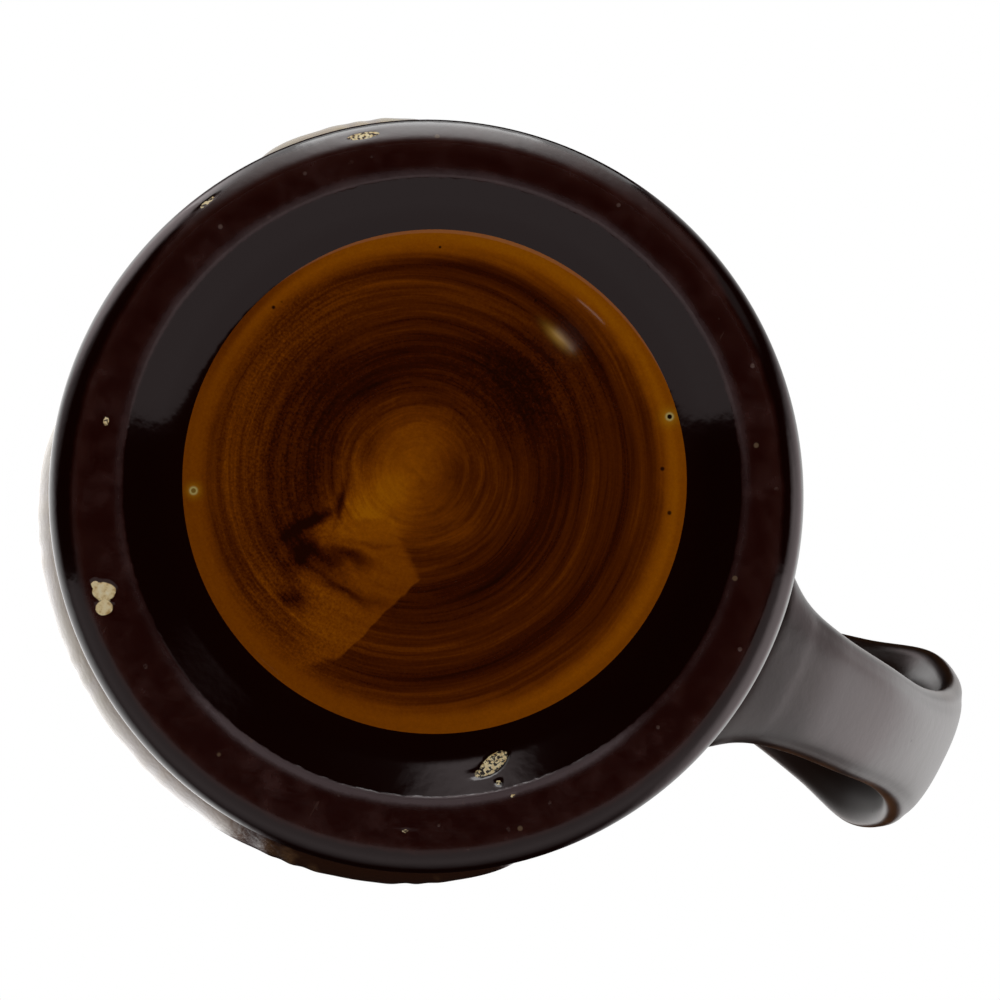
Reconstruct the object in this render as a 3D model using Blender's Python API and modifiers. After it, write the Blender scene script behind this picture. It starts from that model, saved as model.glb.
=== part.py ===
"""Stoneware pitcher: a footed jug with a strap handle, a pulled spout and leafy sprays in relief.

The whole jug is one fired piece of clay, so it is one solid: a hollow body on a turned foot ring,
a strap handle, and a vine with leaves and berries raised on each side of the belly.  The handle
points along +X and the spout along -X, the foot stands at z = 0, and the origin is the middle of
the jug's bounding box on the table.
"""
import math

import bmesh
import bpy
import numpy as np

MM = 0.001

# Foot, in the order of the half section from the outer side to the middle of the underside
GROOVE_RADIUS = 55.2 * MM
GROOVE_HEIGHT = 9.6 * MM
FOOT_RADIUS = 57.0 * MM
FOOT_WIDEST = 4.6 * MM
RING_OUTER = 53.3 * MM
RING_INNER = 47.2 * MM
RING_EASE = 0.7 * MM
DISC_RADIUS = 38.2 * MM
DISC_HEIGHT = 5.9 * MM
DISC_DOME = 0.5 * MM
RING_OFF_CENTRE = 1.5 * MM
DISC_OFF_CENTRE = 2.5 * MM
SWELL_STEPS = (0.45, 0.75)
COVE_STEPS = (0.0, 0.35, 0.7, 1.0)
COVE_POWER = 1.15

# Body, measured on its outer skin
BELLY_RADIUS = 60.6 * MM
BELLY_HEIGHT = 70.0 * MM
NECK_RADIUS = 46.5 * MM
NECK_HEIGHT = 150.0 * MM
LIP_RADIUS = 54.5 * MM
RIM_HEIGHT = 186.0 * MM
WALL = 5.0 * MM
LIP_WALL = 4.2 * MM
FLOOR_HEIGHT = 12.4 * MM
CORNER_RUN = 13.0 * MM
CORNER_RISE = 15.0 * MM

# Spout, pulled from the rim opposite the handle
SPOUT_START = 142.0 * MM
SPOUT_PULL = 12.5 * MM
SPOUT_PULL_POWER = 1.5
SPOUT_RAISE = 4.0 * MM
SPOUT_HALF_ANGLE = math.radians(24.0)
PINCH_DEPTH = 5.0 * MM
PINCH_ANGLE = math.radians(50.0)
PINCH_SPREAD = math.radians(18.0)

# Strap handle: distance from the jug's axis, height, half width and half thickness at each station
HANDLE_STATIONS = (
    (56.4 * MM, 50.5 * MM, 17.5 * MM, 9.5 * MM),
    (63.0 * MM, 53.5 * MM, 12.8 * MM, 6.6 * MM),
    (71.5 * MM, 60.5 * MM, 10.7 * MM, 5.0 * MM),
    (82.5 * MM, 75.5 * MM, 9.9 * MM, 4.4 * MM),
    (92.0 * MM, 95.0 * MM, 9.6 * MM, 4.3 * MM),
    (98.8 * MM, 115.0 * MM, 11.6 * MM, 4.3 * MM),
    (100.6 * MM, 133.0 * MM, 15.2 * MM, 4.4 * MM),
    (97.0 * MM, 150.0 * MM, 17.4 * MM, 4.4 * MM),
    (87.0 * MM, 162.0 * MM, 14.4 * MM, 4.4 * MM),
    (73.0 * MM, 166.5 * MM, 11.6 * MM, 4.4 * MM),
    (57.0 * MM, 164.5 * MM, 11.0 * MM, 5.0 * MM),
    (44.6 * MM, 160.0 * MM, 12.6 * MM, 6.4 * MM),
)
HANDLE_SECTIONS = 25
HANDLE_SIDES = 12
HANDLE_DISH = 0.45
HANDLE_ROLL = 0.8
TANGENT_STEP = 0.01

# Furthest faces from the axis, which set the middle of the bounding box
HANDLE_REACH = 104.9 * MM
SPOUT_REACH = 66.1 * MM
AXIS_X = -(HANDLE_REACH - SPOUT_REACH) / 2

# Raised vine: how far it stands out of the skin, and how deep its roots go into the wall
RELIEF_HEIGHT = 2.6 * MM
RELIEF_ROOT = 1.6 * MM

# Leaves: edge height against the middle's, and the outline as shares of the leaf's reach
LEAF_POINTS = 15
LEAF_EDGE = 0.6
LEAF_TOP = 0.95
LEAF_LOBES = 5
LEAF_LOBE_POWER = 1.5
LEAF_WAIST = 0.54
LEAF_TAPER = 0.1
LEAF_FOOT = 0.42

# Leaves on a shoot: place along it, side (1 trails, -1 leads, 0 points on), share of full size
SHOOT_LEAVES = ((0.42, 1.0, 0.92), (0.70, -1.0, 0.86), (1.0, 0.25, 1.0))
SHOOT_LEAF_TURN = math.radians(68.0)
LOW_LEAF_PLACE = 0.42
LOW_LEAF_SHARE = 0.88
LOW_LEAF_TURN = math.radians(25.0)

# Stems: a shoot's lean and its bend, as shares of its rise
BRANCH_POINTS = 20
SHOOT_RADIUS = 1.5 * MM
SHOOT_POINTS = 6
SHOOT_LEAN = 0.30
SHOOT_BEND = 0.10

# Berries: places in a bunch, across and down, in berry radii
BERRY_RADIUS = 3.3 * MM
BERRY_SEGMENTS = 6
BERRY_RINGS = 4
BUNCH_PLACE = 0.92
BUNCH_BERRIES = ((-0.9, 0.0), (0.9, 0.0), (0.0, 1.5))

# Banks of ground under the vines: how deep their edges and their ends lie in the wall, and the
# crown of a section as shares of its half width and rise.  Each bank has a middle and half span
# in degrees, a height, a half width, a rise and a number of sections
BANK_ROOT = 1.2 * MM
BANK_SINK = 0.6 * MM
BANK_CROWN = ((-0.62, 0.62), (-0.15, 0.98), (0.5, 0.72))
BANK_ROUNDING = 3.0
BANK_END_WIDTH = 0.4
BANKS = (
    (107.0, 59.0, 34.0 * MM, 13.0 * MM, 3.15 * MM, 21),
    (-129.0, 14.0, 36.0 * MM, 11.0 * MM, 2.0 * MM, 9),
)

# Facets
TURN_STEPS = 52
INNER_ROWS = 7
OUTER_ROWS = 15
ARC_ROWS = 4
WELD = 0.01 * MM
SHARP_ANGLE = math.radians(35.0)

GLAZE_BROWN = (0.055, 0.018, 0.008, 1.0)
GLAZE_ROUGHNESS = 0.12


class Spray:
    """One side's vine: a branch along the belly, shoots with leaves above it, leaves below it."""

    def __init__(self, start, end, height, wave, waves, radius, shoots, rise, leaf_size, fruited):
        self.start = math.radians(start)
        self.end = math.radians(end)
        self.height = height
        self.wave = wave
        self.waves = waves
        self.radius = radius
        self.shoots = shoots
        self.rise = rise
        self.leaf_size = leaf_size
        self.fruited = fruited
        self.run = 1.0 if end > start else -1.0

    def branch(self, t):
        """Angle and height at t along the branch, from 0 beside the handle to 1 at the spout."""
        angle = self.start + (self.end - self.start) * t
        return angle, self.height + self.wave * math.sin(math.tau * self.waves * t)

    def shoot(self, i, s):
        """Angle and height at s along shoot i, which leans over as it rises from the branch."""
        angle, height = self.branch((i + 0.5) / self.shoots)
        lean = SHOOT_LEAN * math.sin(s * math.pi / 2)
        bend = SHOOT_BEND * math.sin(s * math.pi * 1.5)
        sideways = self.run * self.rise * (lean + bend)
        return angle + sideways / BELLY_RADIUS, height + self.rise * s

    def leaves(self):
        """Angle, height, heading and size of every leaf."""
        places = []
        for i in range(self.shoots):
            for s, side, share in SHOOT_LEAVES:
                heading = math.pi / 2 - side * self.run * SHOOT_LEAF_TURN
                places.append((*self.shoot(i, s), heading, share * self.leaf_size))
            heading = -math.pi / 2 + self.run * LOW_LEAF_TURN
            places.append((*self.branch((i + LOW_LEAF_PLACE) / self.shoots), heading,
                           LOW_LEAF_SHARE * self.leaf_size))
        return [self.stalked(*place) for place in places]

    def stalked(self, angle, height, heading, size):
        """Move a leaf out along its heading, so that the notch at its foot meets the stem."""
        reach = LEAF_FOOT * size + SHOOT_RADIUS / 2
        return (angle + reach * math.cos(heading) / BELLY_RADIUS,
                height + reach * math.sin(heading), heading, size)

    def bunches(self):
        """Angle and height of each bunch of berries, hung under the branch after a shoot."""
        return [(angle, height - self.radius - BERRY_RADIUS)
                for angle, height in (self.branch((i + BUNCH_PLACE) / self.shoots)
                                      for i in range(self.fruited))]


SPRAYS = (
    Spray(start=50, end=160, height=74 * MM, wave=2.5 * MM, waves=2.0,
          radius=3.0 * MM, shoots=4, rise=34 * MM, leaf_size=12.6 * MM, fruited=3),
    Spray(start=-46, end=-137, height=92 * MM, wave=2.5 * MM, waves=1.5,
          radius=2.6 * MM, shoots=3, rise=28 * MM, leaf_size=12.2 * MM, fruited=3),
)


def clear_scene():
    """Remove whatever the file holds."""
    for item in list(bpy.data.objects):
        bpy.data.objects.remove(item, do_unlink=True)


def new_collection(name):
    """Add a collection to the scene."""
    collection = bpy.data.collections.new(name)
    bpy.context.scene.collection.children.link(collection)
    return collection


def add_object(name, mesh, collection):
    """Link a mesh to the scene as a named object."""
    item = bpy.data.objects.new(name, mesh)
    collection.objects.link(item)
    return item


def add_operand(name, bm, collection):
    """Turn a bmesh into a hidden operand."""
    mesh = bpy.data.meshes.new(name)
    bm.to_mesh(mesh)
    bm.free()
    item = add_object(name, mesh, collection)
    item.hide_render = True
    item.display_type = "WIRE"


def glaze_material():
    """The dark treacle glaze that covers the jug."""
    material = bpy.data.materials.new("treacle_glaze")
    material.use_nodes = True
    shader = material.node_tree.nodes["Principled BSDF"]
    shader.inputs["Base Color"].default_value = GLAZE_BROWN
    shader.inputs["Roughness"].default_value = GLAZE_ROUGHNESS
    shader.inputs["Metallic"].default_value = 0.0
    return material


def spaced(first, last, count):
    """Evenly spaced values from first to last."""
    return [first + (last - first) * i / (count - 1) for i in range(count)]


def outer_radius(height):
    """Radius of the body's outer skin at a height, from the groove up to the rim."""
    if height < BELLY_HEIGHT:
        t = (height - GROOVE_HEIGHT) / (BELLY_HEIGHT - GROOVE_HEIGHT)
        return GROOVE_RADIUS + (BELLY_RADIUS - GROOVE_RADIUS) * math.sin(t * math.pi / 2)
    if height < NECK_HEIGHT:
        t = (height - BELLY_HEIGHT) / (NECK_HEIGHT - BELLY_HEIGHT)
        return NECK_RADIUS + (BELLY_RADIUS - NECK_RADIUS) * (1 + math.cos(t * math.pi)) / 2
    t = (height - NECK_HEIGHT) / (RIM_HEIGHT - NECK_HEIGHT)
    return NECK_RADIUS + (LIP_RADIUS - NECK_RADIUS) * (1 - math.cos(t * math.pi / 2))


def inner_radius(height):
    """Radius of the inside, a wall's thickness in from the outer skin and thinner at the lip."""
    t = max(0.0, (height - NECK_HEIGHT) / (RIM_HEIGHT - NECK_HEIGHT))
    return outer_radius(height) - WALL - (LIP_WALL - WALL) * t


def arc(centre, across, up, first, last, count):
    """Points of an elliptical arc, by angle from +X."""
    return [(centre[0] + across * math.cos(turn), centre[1] + up * math.sin(turn))
            for turn in spaced(first, last, count)]


def body_profile():
    """The half section, from the middle of the floor inside, over the rim, to the underside."""
    corner_top = FLOOR_HEIGHT + CORNER_RISE
    corner_in = inner_radius(corner_top) - CORNER_RUN
    lip_centre = RIM_HEIGHT - LIP_WALL / 2
    points = [(0.0, FLOOR_HEIGHT)]
    points += arc((corner_in, corner_top), CORNER_RUN, CORNER_RISE, -math.pi / 2, 0.0, ARC_ROWS)
    points += [(inner_radius(z), z) for z in spaced(corner_top, lip_centre, INNER_ROWS)[1:-1]]

    # The rim is a half round as thick as the wall
    middle = outer_radius(lip_centre) - LIP_WALL / 2
    points += arc((middle, lip_centre), LIP_WALL / 2, LIP_WALL / 2, math.pi, 0.0, ARC_ROWS + 1)
    points += [(outer_radius(z), z) for z in spaced(lip_centre, GROOVE_HEIGHT, OUTER_ROWS)[1:]]

    # The foot swells out of the groove, then rounds under to the flat standing ring
    bulge = FOOT_RADIUS - GROOVE_RADIUS
    drop = GROOVE_HEIGHT - FOOT_WIDEST
    points += [(GROOVE_RADIUS + bulge * math.sin(t * math.pi / 2) ** 2, GROOVE_HEIGHT - drop * t)
               for t in SWELL_STEPS]
    points += arc((RING_OUTER, FOOT_WIDEST), FOOT_RADIUS - RING_OUTER, FOOT_WIDEST,
                  0.0, -math.pi / 2, ARC_ROWS)

    # The recess: an eased edge, a cove up to the disc, and the disc itself
    points.append((RING_INNER, 0.0))
    points += [(RING_INNER - RING_EASE - (RING_INNER - RING_EASE - DISC_RADIUS) * t,
                RING_EASE + (DISC_HEIGHT - RING_EASE) * math.sin(t * math.pi / 2) ** COVE_POWER)
               for t in COVE_STEPS]
    points.append((0.0, DISC_HEIGHT + DISC_DOME))
    return points


def turned_body(collection):
    """Spin the half section round the axis with a Screw modifier."""
    profile = body_profile()
    mesh = bpy.data.meshes.new("body_profile")
    mesh.from_pydata([(r, 0.0, z) for r, z in profile],
                     [(i, i + 1) for i in range(len(profile) - 1)], [])
    item = add_object("body_profile", mesh, collection)
    screw = item.modifiers.new("Turn", "SCREW")
    screw.axis = "Z"
    screw.steps = TURN_STEPS
    screw.render_steps = TURN_STEPS
    screw.use_merge_vertices = True
    screw.merge_threshold = WELD
    return item


def smooth_step(value):
    """Ease from 0 to 1 with a level start and end."""
    t = np.clip(value, 0.0, 1.0)
    return t * t * (3 - 2 * t)


def pull_spout(place):
    """Pinch the rim either side of -X and draw the middle out and up into a pouring lip."""
    rise = smooth_step((place[:, 2] - SPOUT_START) / (RIM_HEIGHT - SPOUT_START))
    away = np.arctan2(place[:, 1], -place[:, 0])
    radius = np.hypot(place[:, 0], place[:, 1])
    lip = np.exp(-(away / SPOUT_HALF_ANGLE) ** 2)
    pinch = np.exp(-((np.abs(away) - PINCH_ANGLE) / PINCH_SPREAD) ** 2)
    pulled = SPOUT_PULL * rise ** SPOUT_PULL_POWER * lip
    moved = radius + pulled - PINCH_DEPTH * rise * pinch
    scale = moved / np.maximum(radius, MM)
    place[:, 0] *= scale
    place[:, 1] *= scale
    place[:, 2] += SPOUT_RAISE * rise ** 2 * lip


def shift_recess(place):
    """Move the recess under the foot off centre, as hand trimming left it."""
    radius = np.hypot(place[:, 0], place[:, 1])
    inside_floor = (DISC_HEIGHT + FLOOR_HEIGHT) / 2
    under = (place[:, 2] < inside_floor) & (radius < RING_INNER + RING_EASE)
    inward = np.clip((RING_INNER - radius) / (RING_INNER - DISC_RADIUS), 0.0, 1.0)
    shift = RING_OFF_CENTRE + (DISC_OFF_CENTRE - RING_OFF_CENTRE) * inward
    place[under, 1] -= shift[under]


def shaped_body(collection, tools):
    """The turned body as a mesh, with its spout pulled and its recess off centre."""
    turned = turned_body(tools)
    depsgraph = bpy.context.evaluated_depsgraph_get()
    mesh = bpy.data.meshes.new_from_object(turned.evaluated_get(depsgraph))
    bpy.data.objects.remove(turned, do_unlink=True)
    place = np.empty(len(mesh.vertices) * 3)
    mesh.vertices.foreach_get("co", place)
    place = place.reshape(-1, 3)
    shift_recess(place)
    pull_spout(place)
    mesh.vertices.foreach_set("co", place.ravel())
    mesh.update()
    return add_object("pitcher", mesh, collection)


def through_stations(t):
    """A smooth curve through the handle's stations (Catmull-Rom), at t from 0 to 1."""
    stations = np.array(HANDLE_STATIONS)
    padded = np.vstack((2 * stations[0] - stations[1], stations, 2 * stations[-1] - stations[-2]))
    run = t * (len(stations) - 1)
    i = min(int(run), len(stations) - 2)
    f = run - i
    a, b, c, d = padded[i:i + 4]
    return 0.5 * (2 * b + (c - a) * f + (2 * a - 5 * b + 4 * c - d) * f ** 2
                  + (3 * b - a - 3 * c + d) * f ** 3)


def strap_section(half_width, half_thick):
    """Section of the strap: a crowned outer face, rolled edges and a dished inner face."""
    turn = np.linspace(0.0, math.tau, HANDLE_SIDES, endpoint=False)
    across = np.sign(np.cos(turn)) * np.abs(np.cos(turn)) ** HANDLE_ROLL
    out = np.sin(turn)
    dish = 1 - HANDLE_DISH * (1 - across ** 2)
    out = np.where(out < 0, out * dish, out)
    return half_width * across, half_thick * out


def loft(name, rings, collection):
    """A closed skin through rings of points, flat at both ends."""
    bm = bmesh.new()
    loops = [[bm.verts.new(point) for point in ring] for ring in rings]
    sides = len(loops[0])
    for low, high in zip(loops, loops[1:]):
        for i in range(sides):
            j = (i + 1) % sides
            bm.faces.new((low[i], low[j], high[j], high[i]))
    bm.faces.new(loops[0][::-1])
    bm.faces.new(loops[-1])
    bmesh.ops.recalc_face_normals(bm, faces=bm.faces)
    add_operand(name, bm, collection)


def strap_handle(collection):
    """Loft the strap's sections along its path; its ends stand inside the body's wall."""
    rings = []
    for t in spaced(0.0, 1.0, HANDLE_SECTIONS):
        x, z, half_width, half_thick = through_stations(t)
        ahead = through_stations(min(t + TANGENT_STEP, 1.0))[:2]
        behind = through_stations(max(t - TANGENT_STEP, 0.0))[:2]
        along = (ahead - behind) / np.linalg.norm(ahead - behind)
        # The end sections turn upright, to lie in the wall
        outward = np.array((along[1], -along[0]))
        if t in (0.0, 1.0):
            outward = np.array((0.0, -1.0 if t == 0.0 else 1.0))
        across, out = strap_section(half_width, half_thick)
        rings.append(np.stack((x + out * outward[0], across, z + out * outward[1]), axis=1))
    loft("strap_handle", rings, collection)


def on_body(angle, height, lift):
    """The point that stands off the body's outer skin by lift."""
    radius = outer_radius(height) + lift
    return (radius * math.cos(angle), radius * math.sin(angle), height)


def leaf_reach(turn, size):
    """Distance from a leaf's middle to its edge, in a direction measured from its tip."""
    lobes = 1.0 - abs(math.sin(turn * LEAF_LOBES / 2)) ** LEAF_LOBE_POWER
    taper = 1.0 - LEAF_TAPER * (1.0 - math.cos(turn))
    return size * (LEAF_WAIST + (1.0 - LEAF_WAIST) * lobes) * taper


def leaf(name, angle, height, heading, size, collection):
    """A lobed leaf laid on the skin: a capped disc whose edge is drawn out into five lobes."""
    bm = bmesh.new()
    bmesh.ops.create_cone(bm, cap_ends=True, cap_tris=True, segments=LEAF_POINTS,
                          radius1=1.0, radius2=1.0, depth=2.0)
    for vert in bm.verts:
        turn = math.atan2(vert.co.y, vert.co.x)
        on_edge = math.hypot(vert.co.x, vert.co.y) > 0.5
        reach = leaf_reach(turn, size) if on_edge else 0.0
        lift = -RELIEF_ROOT
        if vert.co.z > 0:
            reach *= LEAF_TOP
            lift = RELIEF_HEIGHT * (LEAF_EDGE if on_edge else 1.0)
        vert.co = on_body(angle + reach * math.cos(turn + heading) / BELLY_RADIUS,
                          height + reach * math.sin(turn + heading), lift)
    bmesh.ops.recalc_face_normals(bm, faces=bm.faces)
    add_operand(name, bm, collection)


def berry(name, angle, height, collection):
    """A berry, a ball sunk partly into the skin."""
    bm = bmesh.new()
    bmesh.ops.create_uvsphere(bm, u_segments=BERRY_SEGMENTS, v_segments=BERRY_RINGS,
                              radius=BERRY_RADIUS)
    bmesh.ops.translate(bm, verts=bm.verts,
                        vec=on_body(angle, height, RELIEF_HEIGHT - BERRY_RADIUS))
    add_operand(name, bm, collection)


def berry_bunch(name, angle, height, collection):
    """Three berries in a bunch, two above and one below."""
    for i, (across, drop) in enumerate(BUNCH_BERRIES):
        berry(f"{name}_{i}", angle + across * BERRY_RADIUS / BELLY_RADIUS,
              height - drop * BERRY_RADIUS, collection)


def stem(name, places, radius, sink, collection):
    """A round stem along the skin, sunk in it, made a mesh with welded caps."""
    curve = bpy.data.curves.new(name, "CURVE")
    curve.dimensions = "3D"
    curve.bevel_depth = radius
    curve.bevel_resolution = 1
    curve.use_fill_caps = True
    spline = curve.splines.new("POLY")
    spline.points.add(len(places) - 1)
    for point, (angle, height) in zip(spline.points, places):
        point.co = (*on_body(angle, height, -sink), 1.0)
    guide = bpy.data.objects.new(name + "_guide", curve)
    collection.objects.link(guide)
    depsgraph = bpy.context.evaluated_depsgraph_get()
    mesh = bpy.data.meshes.new_from_object(guide.evaluated_get(depsgraph))
    bpy.data.objects.remove(guide, do_unlink=True)
    bm = bmesh.new()
    bm.from_mesh(mesh)
    bmesh.ops.remove_doubles(bm, verts=bm.verts, dist=WELD)
    add_operand(name, bm, collection)


def vine(name, spray, collection):
    """The branch, its shoots, their leaves and the bunches of berries."""
    stem(name + "_branch", [spray.branch(t) for t in spaced(0.0, 1.0, BRANCH_POINTS)],
         spray.radius, spray.radius - RELIEF_HEIGHT, collection)
    for i in range(spray.shoots):
        stem(f"{name}_shoot_{i}", [spray.shoot(i, s) for s in spaced(0.0, 1.0, SHOOT_POINTS)],
             SHOOT_RADIUS, 0.0, collection)
    for i, place in enumerate(spray.leaves()):
        leaf(f"{name}_leaf_{i}", *place, collection)
    for i, place in enumerate(spray.bunches()):
        berry_bunch(f"{name}_bunch_{i}", *place, collection)


def bank(name, middle, half_span, height, half_width, rise, sections, collection):
    """A low bank of ground along the skin, which rounds off and narrows at both ends.

    With u from -1 to 1 along it, its share of the full rise is (1 - |u|^3)^(1/3).
    """
    rings = []
    for turn in spaced(-math.pi / 2, math.pi / 2, sections):
        u = math.sin(turn)
        share = (1.0 - abs(u) ** BANK_ROUNDING) ** (1.0 / BANK_ROUNDING)
        reach = half_width * (BANK_END_WIDTH + (1.0 - BANK_END_WIDTH) * share)
        crown = [(across, (rise * up + BANK_SINK) * share - BANK_SINK)
                 for across, up in BANK_CROWN]
        section = [(-1.0, -BANK_ROOT), *crown, (1.0, -BANK_ROOT)]
        angle = math.radians(middle + half_span * u)
        rings.append([on_body(angle, height + across * reach, lift) for across, lift in section])
    loft(name, rings, collection)


def join_to(body, collection, name):
    """Fuse everything in a collection into the body with one exact union."""
    union = body.modifiers.new(name, "BOOLEAN")
    union.operation = "UNION"
    union.solver = "EXACT"
    union.operand_type = "COLLECTION"
    union.collection = collection


def build():
    """Model the pitcher."""
    clear_scene()
    model = new_collection("stoneware_pitcher")
    tools = new_collection("operands")
    handle_parts = new_collection("handle_operands")
    relief_parts = new_collection("relief_operands")

    body = shaped_body(model, tools)
    strap_handle(handle_parts)
    for side, spray in zip("ab", SPRAYS):
        vine(f"vine_{side}", spray, relief_parts)
    for side, sizes in zip("ab", BANKS):
        bank(f"bank_{side}", *sizes, relief_parts)
    join_to(body, handle_parts, "Handle")
    join_to(body, relief_parts, "Relief")

    body.data.materials.clear()
    body.data.materials.append(glaze_material())
    body.data.shade_smooth()
    body.data.set_sharp_from_angle(angle=SHARP_ANGLE)
    for item in (body, *handle_parts.objects, *relief_parts.objects):
        item.location.x = AXIS_X


build()
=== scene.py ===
"""The looks of a stoneware pitcher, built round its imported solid.

The jug is seen from below: a matt standing ring, a dark glazed recess and an amber disc inside it,
with the strap handle reaching out to one side.  Each sub-assembly is a class that works its
surfaces out as whole arrays, and each glaze is a finish with a node material of its own.
"""

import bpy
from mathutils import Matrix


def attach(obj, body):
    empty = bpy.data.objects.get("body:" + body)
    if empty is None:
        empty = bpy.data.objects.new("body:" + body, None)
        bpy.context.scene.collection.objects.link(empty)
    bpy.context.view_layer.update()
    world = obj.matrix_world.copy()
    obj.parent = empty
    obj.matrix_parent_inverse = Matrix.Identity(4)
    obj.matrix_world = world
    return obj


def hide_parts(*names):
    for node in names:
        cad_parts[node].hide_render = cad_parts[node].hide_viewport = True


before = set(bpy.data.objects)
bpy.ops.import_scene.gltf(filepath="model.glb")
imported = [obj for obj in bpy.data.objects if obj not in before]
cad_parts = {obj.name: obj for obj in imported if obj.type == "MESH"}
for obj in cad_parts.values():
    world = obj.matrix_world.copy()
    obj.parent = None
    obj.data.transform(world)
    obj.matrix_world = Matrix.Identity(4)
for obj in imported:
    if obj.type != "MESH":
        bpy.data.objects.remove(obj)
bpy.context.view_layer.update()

import logging
import math
from dataclasses import dataclass, field
from enum import Enum
from typing import Optional, Sequence, Union

import bpy
import numpy as np
from mathutils import Matrix, Vector

LOG = logging.getLogger("pitcher")
MM = 0.001
TAU = math.tau
Array = np.ndarray
Colour = tuple[float, float, float]

# The underside has its own pair of axes: across to the right and up, as someone who holds the jug
# with its foot towards them and its handle at the lower right sees it
ACROSS = np.array((math.cos(math.radians(-26.5)), math.sin(math.radians(-26.5))))
UP = np.array((math.cos(math.radians(-116.5)), math.sin(math.radians(-116.5))))

GLAZE_IOR = 1.52
# The disc's brushed rings: their middle, and the outermost one's size, in shares of its radius
RINGS_ACROSS, RINGS_UP, RINGS_SIZE = -0.07, 0.04, 0.84
# One turn of the throwing rings inside the jug, in metres
THROWING_PITCH = 7.2 * MM
# The middle of the handle's grip, which its own lamps face
GRIP = Vector((0.06, 0.0, 0.1))


# ---------------------------------------------------------------------------------------------
# Small tools for numbers


def ease(low: float, high: float, value: Array) -> Array:
    """Ease from 0 at low to 1 at high with a level start and end.

    Args:
        low: Where the step starts.
        high: Where it ends.
        value: Numbers to put through it.

    Returns:
        3t² - 2t³, with t the clipped share of the way from low to high.
    """
    t = np.clip((value - low) / (high - low), 0.0, 1.0)
    return t * t * (3.0 - 2.0 * t)


def bell(value: Array, width: float) -> Array:
    """A bell curve, exp(-(value / width)²)."""
    return np.exp(-((value / width) ** 2))


def wobble(turn: Array, seed: float, waves: int = 6) -> Array:
    """An uneven line round a turned form, between about -1 and 1.

    Args:
        turn: Angles round the axis.
        seed: Shifts the phase of each wave.
        waves: How many waves are summed.

    Returns:
        The sum of sines of 1 to `waves` cycles a turn, each weaker than the last.
    """
    total = np.zeros_like(turn)
    for k in range(1, waves + 1):
        total = total + np.sin(k * turn + seed * (1.7 * k + 0.9)) / (0.6 + 0.7 * k)
    return total / 1.6


# ---------------------------------------------------------------------------------------------
# Meshes


@dataclass
class Shell:
    """A closed surface: its points, its faces, and what each point says to its glaze."""

    points: Array
    quads: Array
    triangles: Array
    marks: dict[str, Array] = field(default_factory=dict)
    quad_slots: Optional[Array] = None
    triangle_slots: Optional[Array] = None

    def outward(self) -> "Shell":
        """Turn every face round if the volume inside comes out negative.

        Returns:
            The same shell, its faces pointing outwards.
        """
        halves = np.vstack((self.quads[:, (0, 1, 2)], self.quads[:, (0, 2, 3)], self.triangles))
        a, b, c = (self.points[halves[:, i]] for i in range(3))
        if np.einsum("ij,ij->i", a, np.cross(b, c)).sum() < 0.0:
            self.quads = self.quads[:, ::-1]
            self.triangles = self.triangles[:, ::-1]
        return self

    def as_object(self, name: str, finishes: list[bpy.types.Material]) -> bpy.types.Object:
        """Put the shell into a mesh object.

        Args:
            name: The piece's name.
            finishes: Its materials, in the order of the face slots.

        Returns:
            The new object, at the origin, smooth shaded.
        """
        mesh = bpy.data.meshes.new(name)
        mesh.vertices.add(len(self.points))
        mesh.vertices.foreach_set("co", self.points.astype(np.float32).ravel())
        corners = np.concatenate((self.quads.ravel(), self.triangles.ravel())).astype(np.int32)
        mesh.loops.add(len(corners))
        mesh.loops.foreach_set("vertex_index", corners)
        starts = np.concatenate((np.arange(len(self.quads)) * 4,
                                 len(self.quads) * 4 + np.arange(len(self.triangles)) * 3))
        mesh.polygons.add(len(starts))
        mesh.polygons.foreach_set("loop_start", starts.astype(np.int32))
        if self.quad_slots is not None:
            slots = np.concatenate((self.quad_slots, self.triangle_slots)).astype(np.int32)
            mesh.polygons.foreach_set("material_index", slots)
        mesh.update(calc_edges=True)
        mesh.shade_smooth()
        for mark, values in self.marks.items():
            layer = mesh.attributes.new(mark, "FLOAT", "POINT")
            layer.data.foreach_set("value", values.astype(np.float32).ravel())
        for finish in finishes:
            mesh.materials.append(finish)
        piece = bpy.data.objects.new(name, mesh)
        bpy.context.scene.collection.objects.link(piece)
        return piece


def lattice(rows: int, columns: int, closed: bool = True) -> Array:
    """Faces of a grid of points, numbered along its rows.

    Args:
        rows: Rows of points.
        columns: Points in a row.
        closed: Whether each row runs round into itself.

    Returns:
        The quads, four point numbers each.
    """
    low = np.arange(rows - 1)[:, None] * columns
    here = np.arange(columns if closed else columns - 1)[None, :]
    there = (here + 1) % columns
    return np.stack((low + here, low + there, low + columns + there, low + columns + here),
                    axis=-1).reshape(-1, 4)


def fan(centre: int, first: int, count: int, flip: bool) -> Array:
    """Triangles from one point to a closed row of points.

    Args:
        centre: The middle point's number.
        first: Number of the row's first point.
        count: Points in the row.
        flip: Whether the triangles run the other way.

    Returns:
        The triangles, three point numbers each.
    """
    here = np.arange(count)
    there = (here + 1) % count
    near, far = (there, here) if flip else (here, there)
    return np.stack((np.full(count, centre), first + near, first + far), axis=-1)


def joined(shells: list[Shell]) -> Shell:
    """Put several shells into one, with their points numbered on.

    Args:
        shells: Shells with the same marks.

    Returns:
        One shell with everything in it.
    """
    starts = np.cumsum([0] + [len(shell.points) for shell in shells[:-1]])
    return Shell(np.vstack([shell.points for shell in shells]),
                 np.vstack([shell.quads + s for shell, s in zip(shells, starts)]),
                 np.vstack([shell.triangles + s for shell, s in zip(shells, starts)]),
                 {mark: np.concatenate([shell.marks[mark] for shell in shells])
                  for mark in shells[0].marks})


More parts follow.
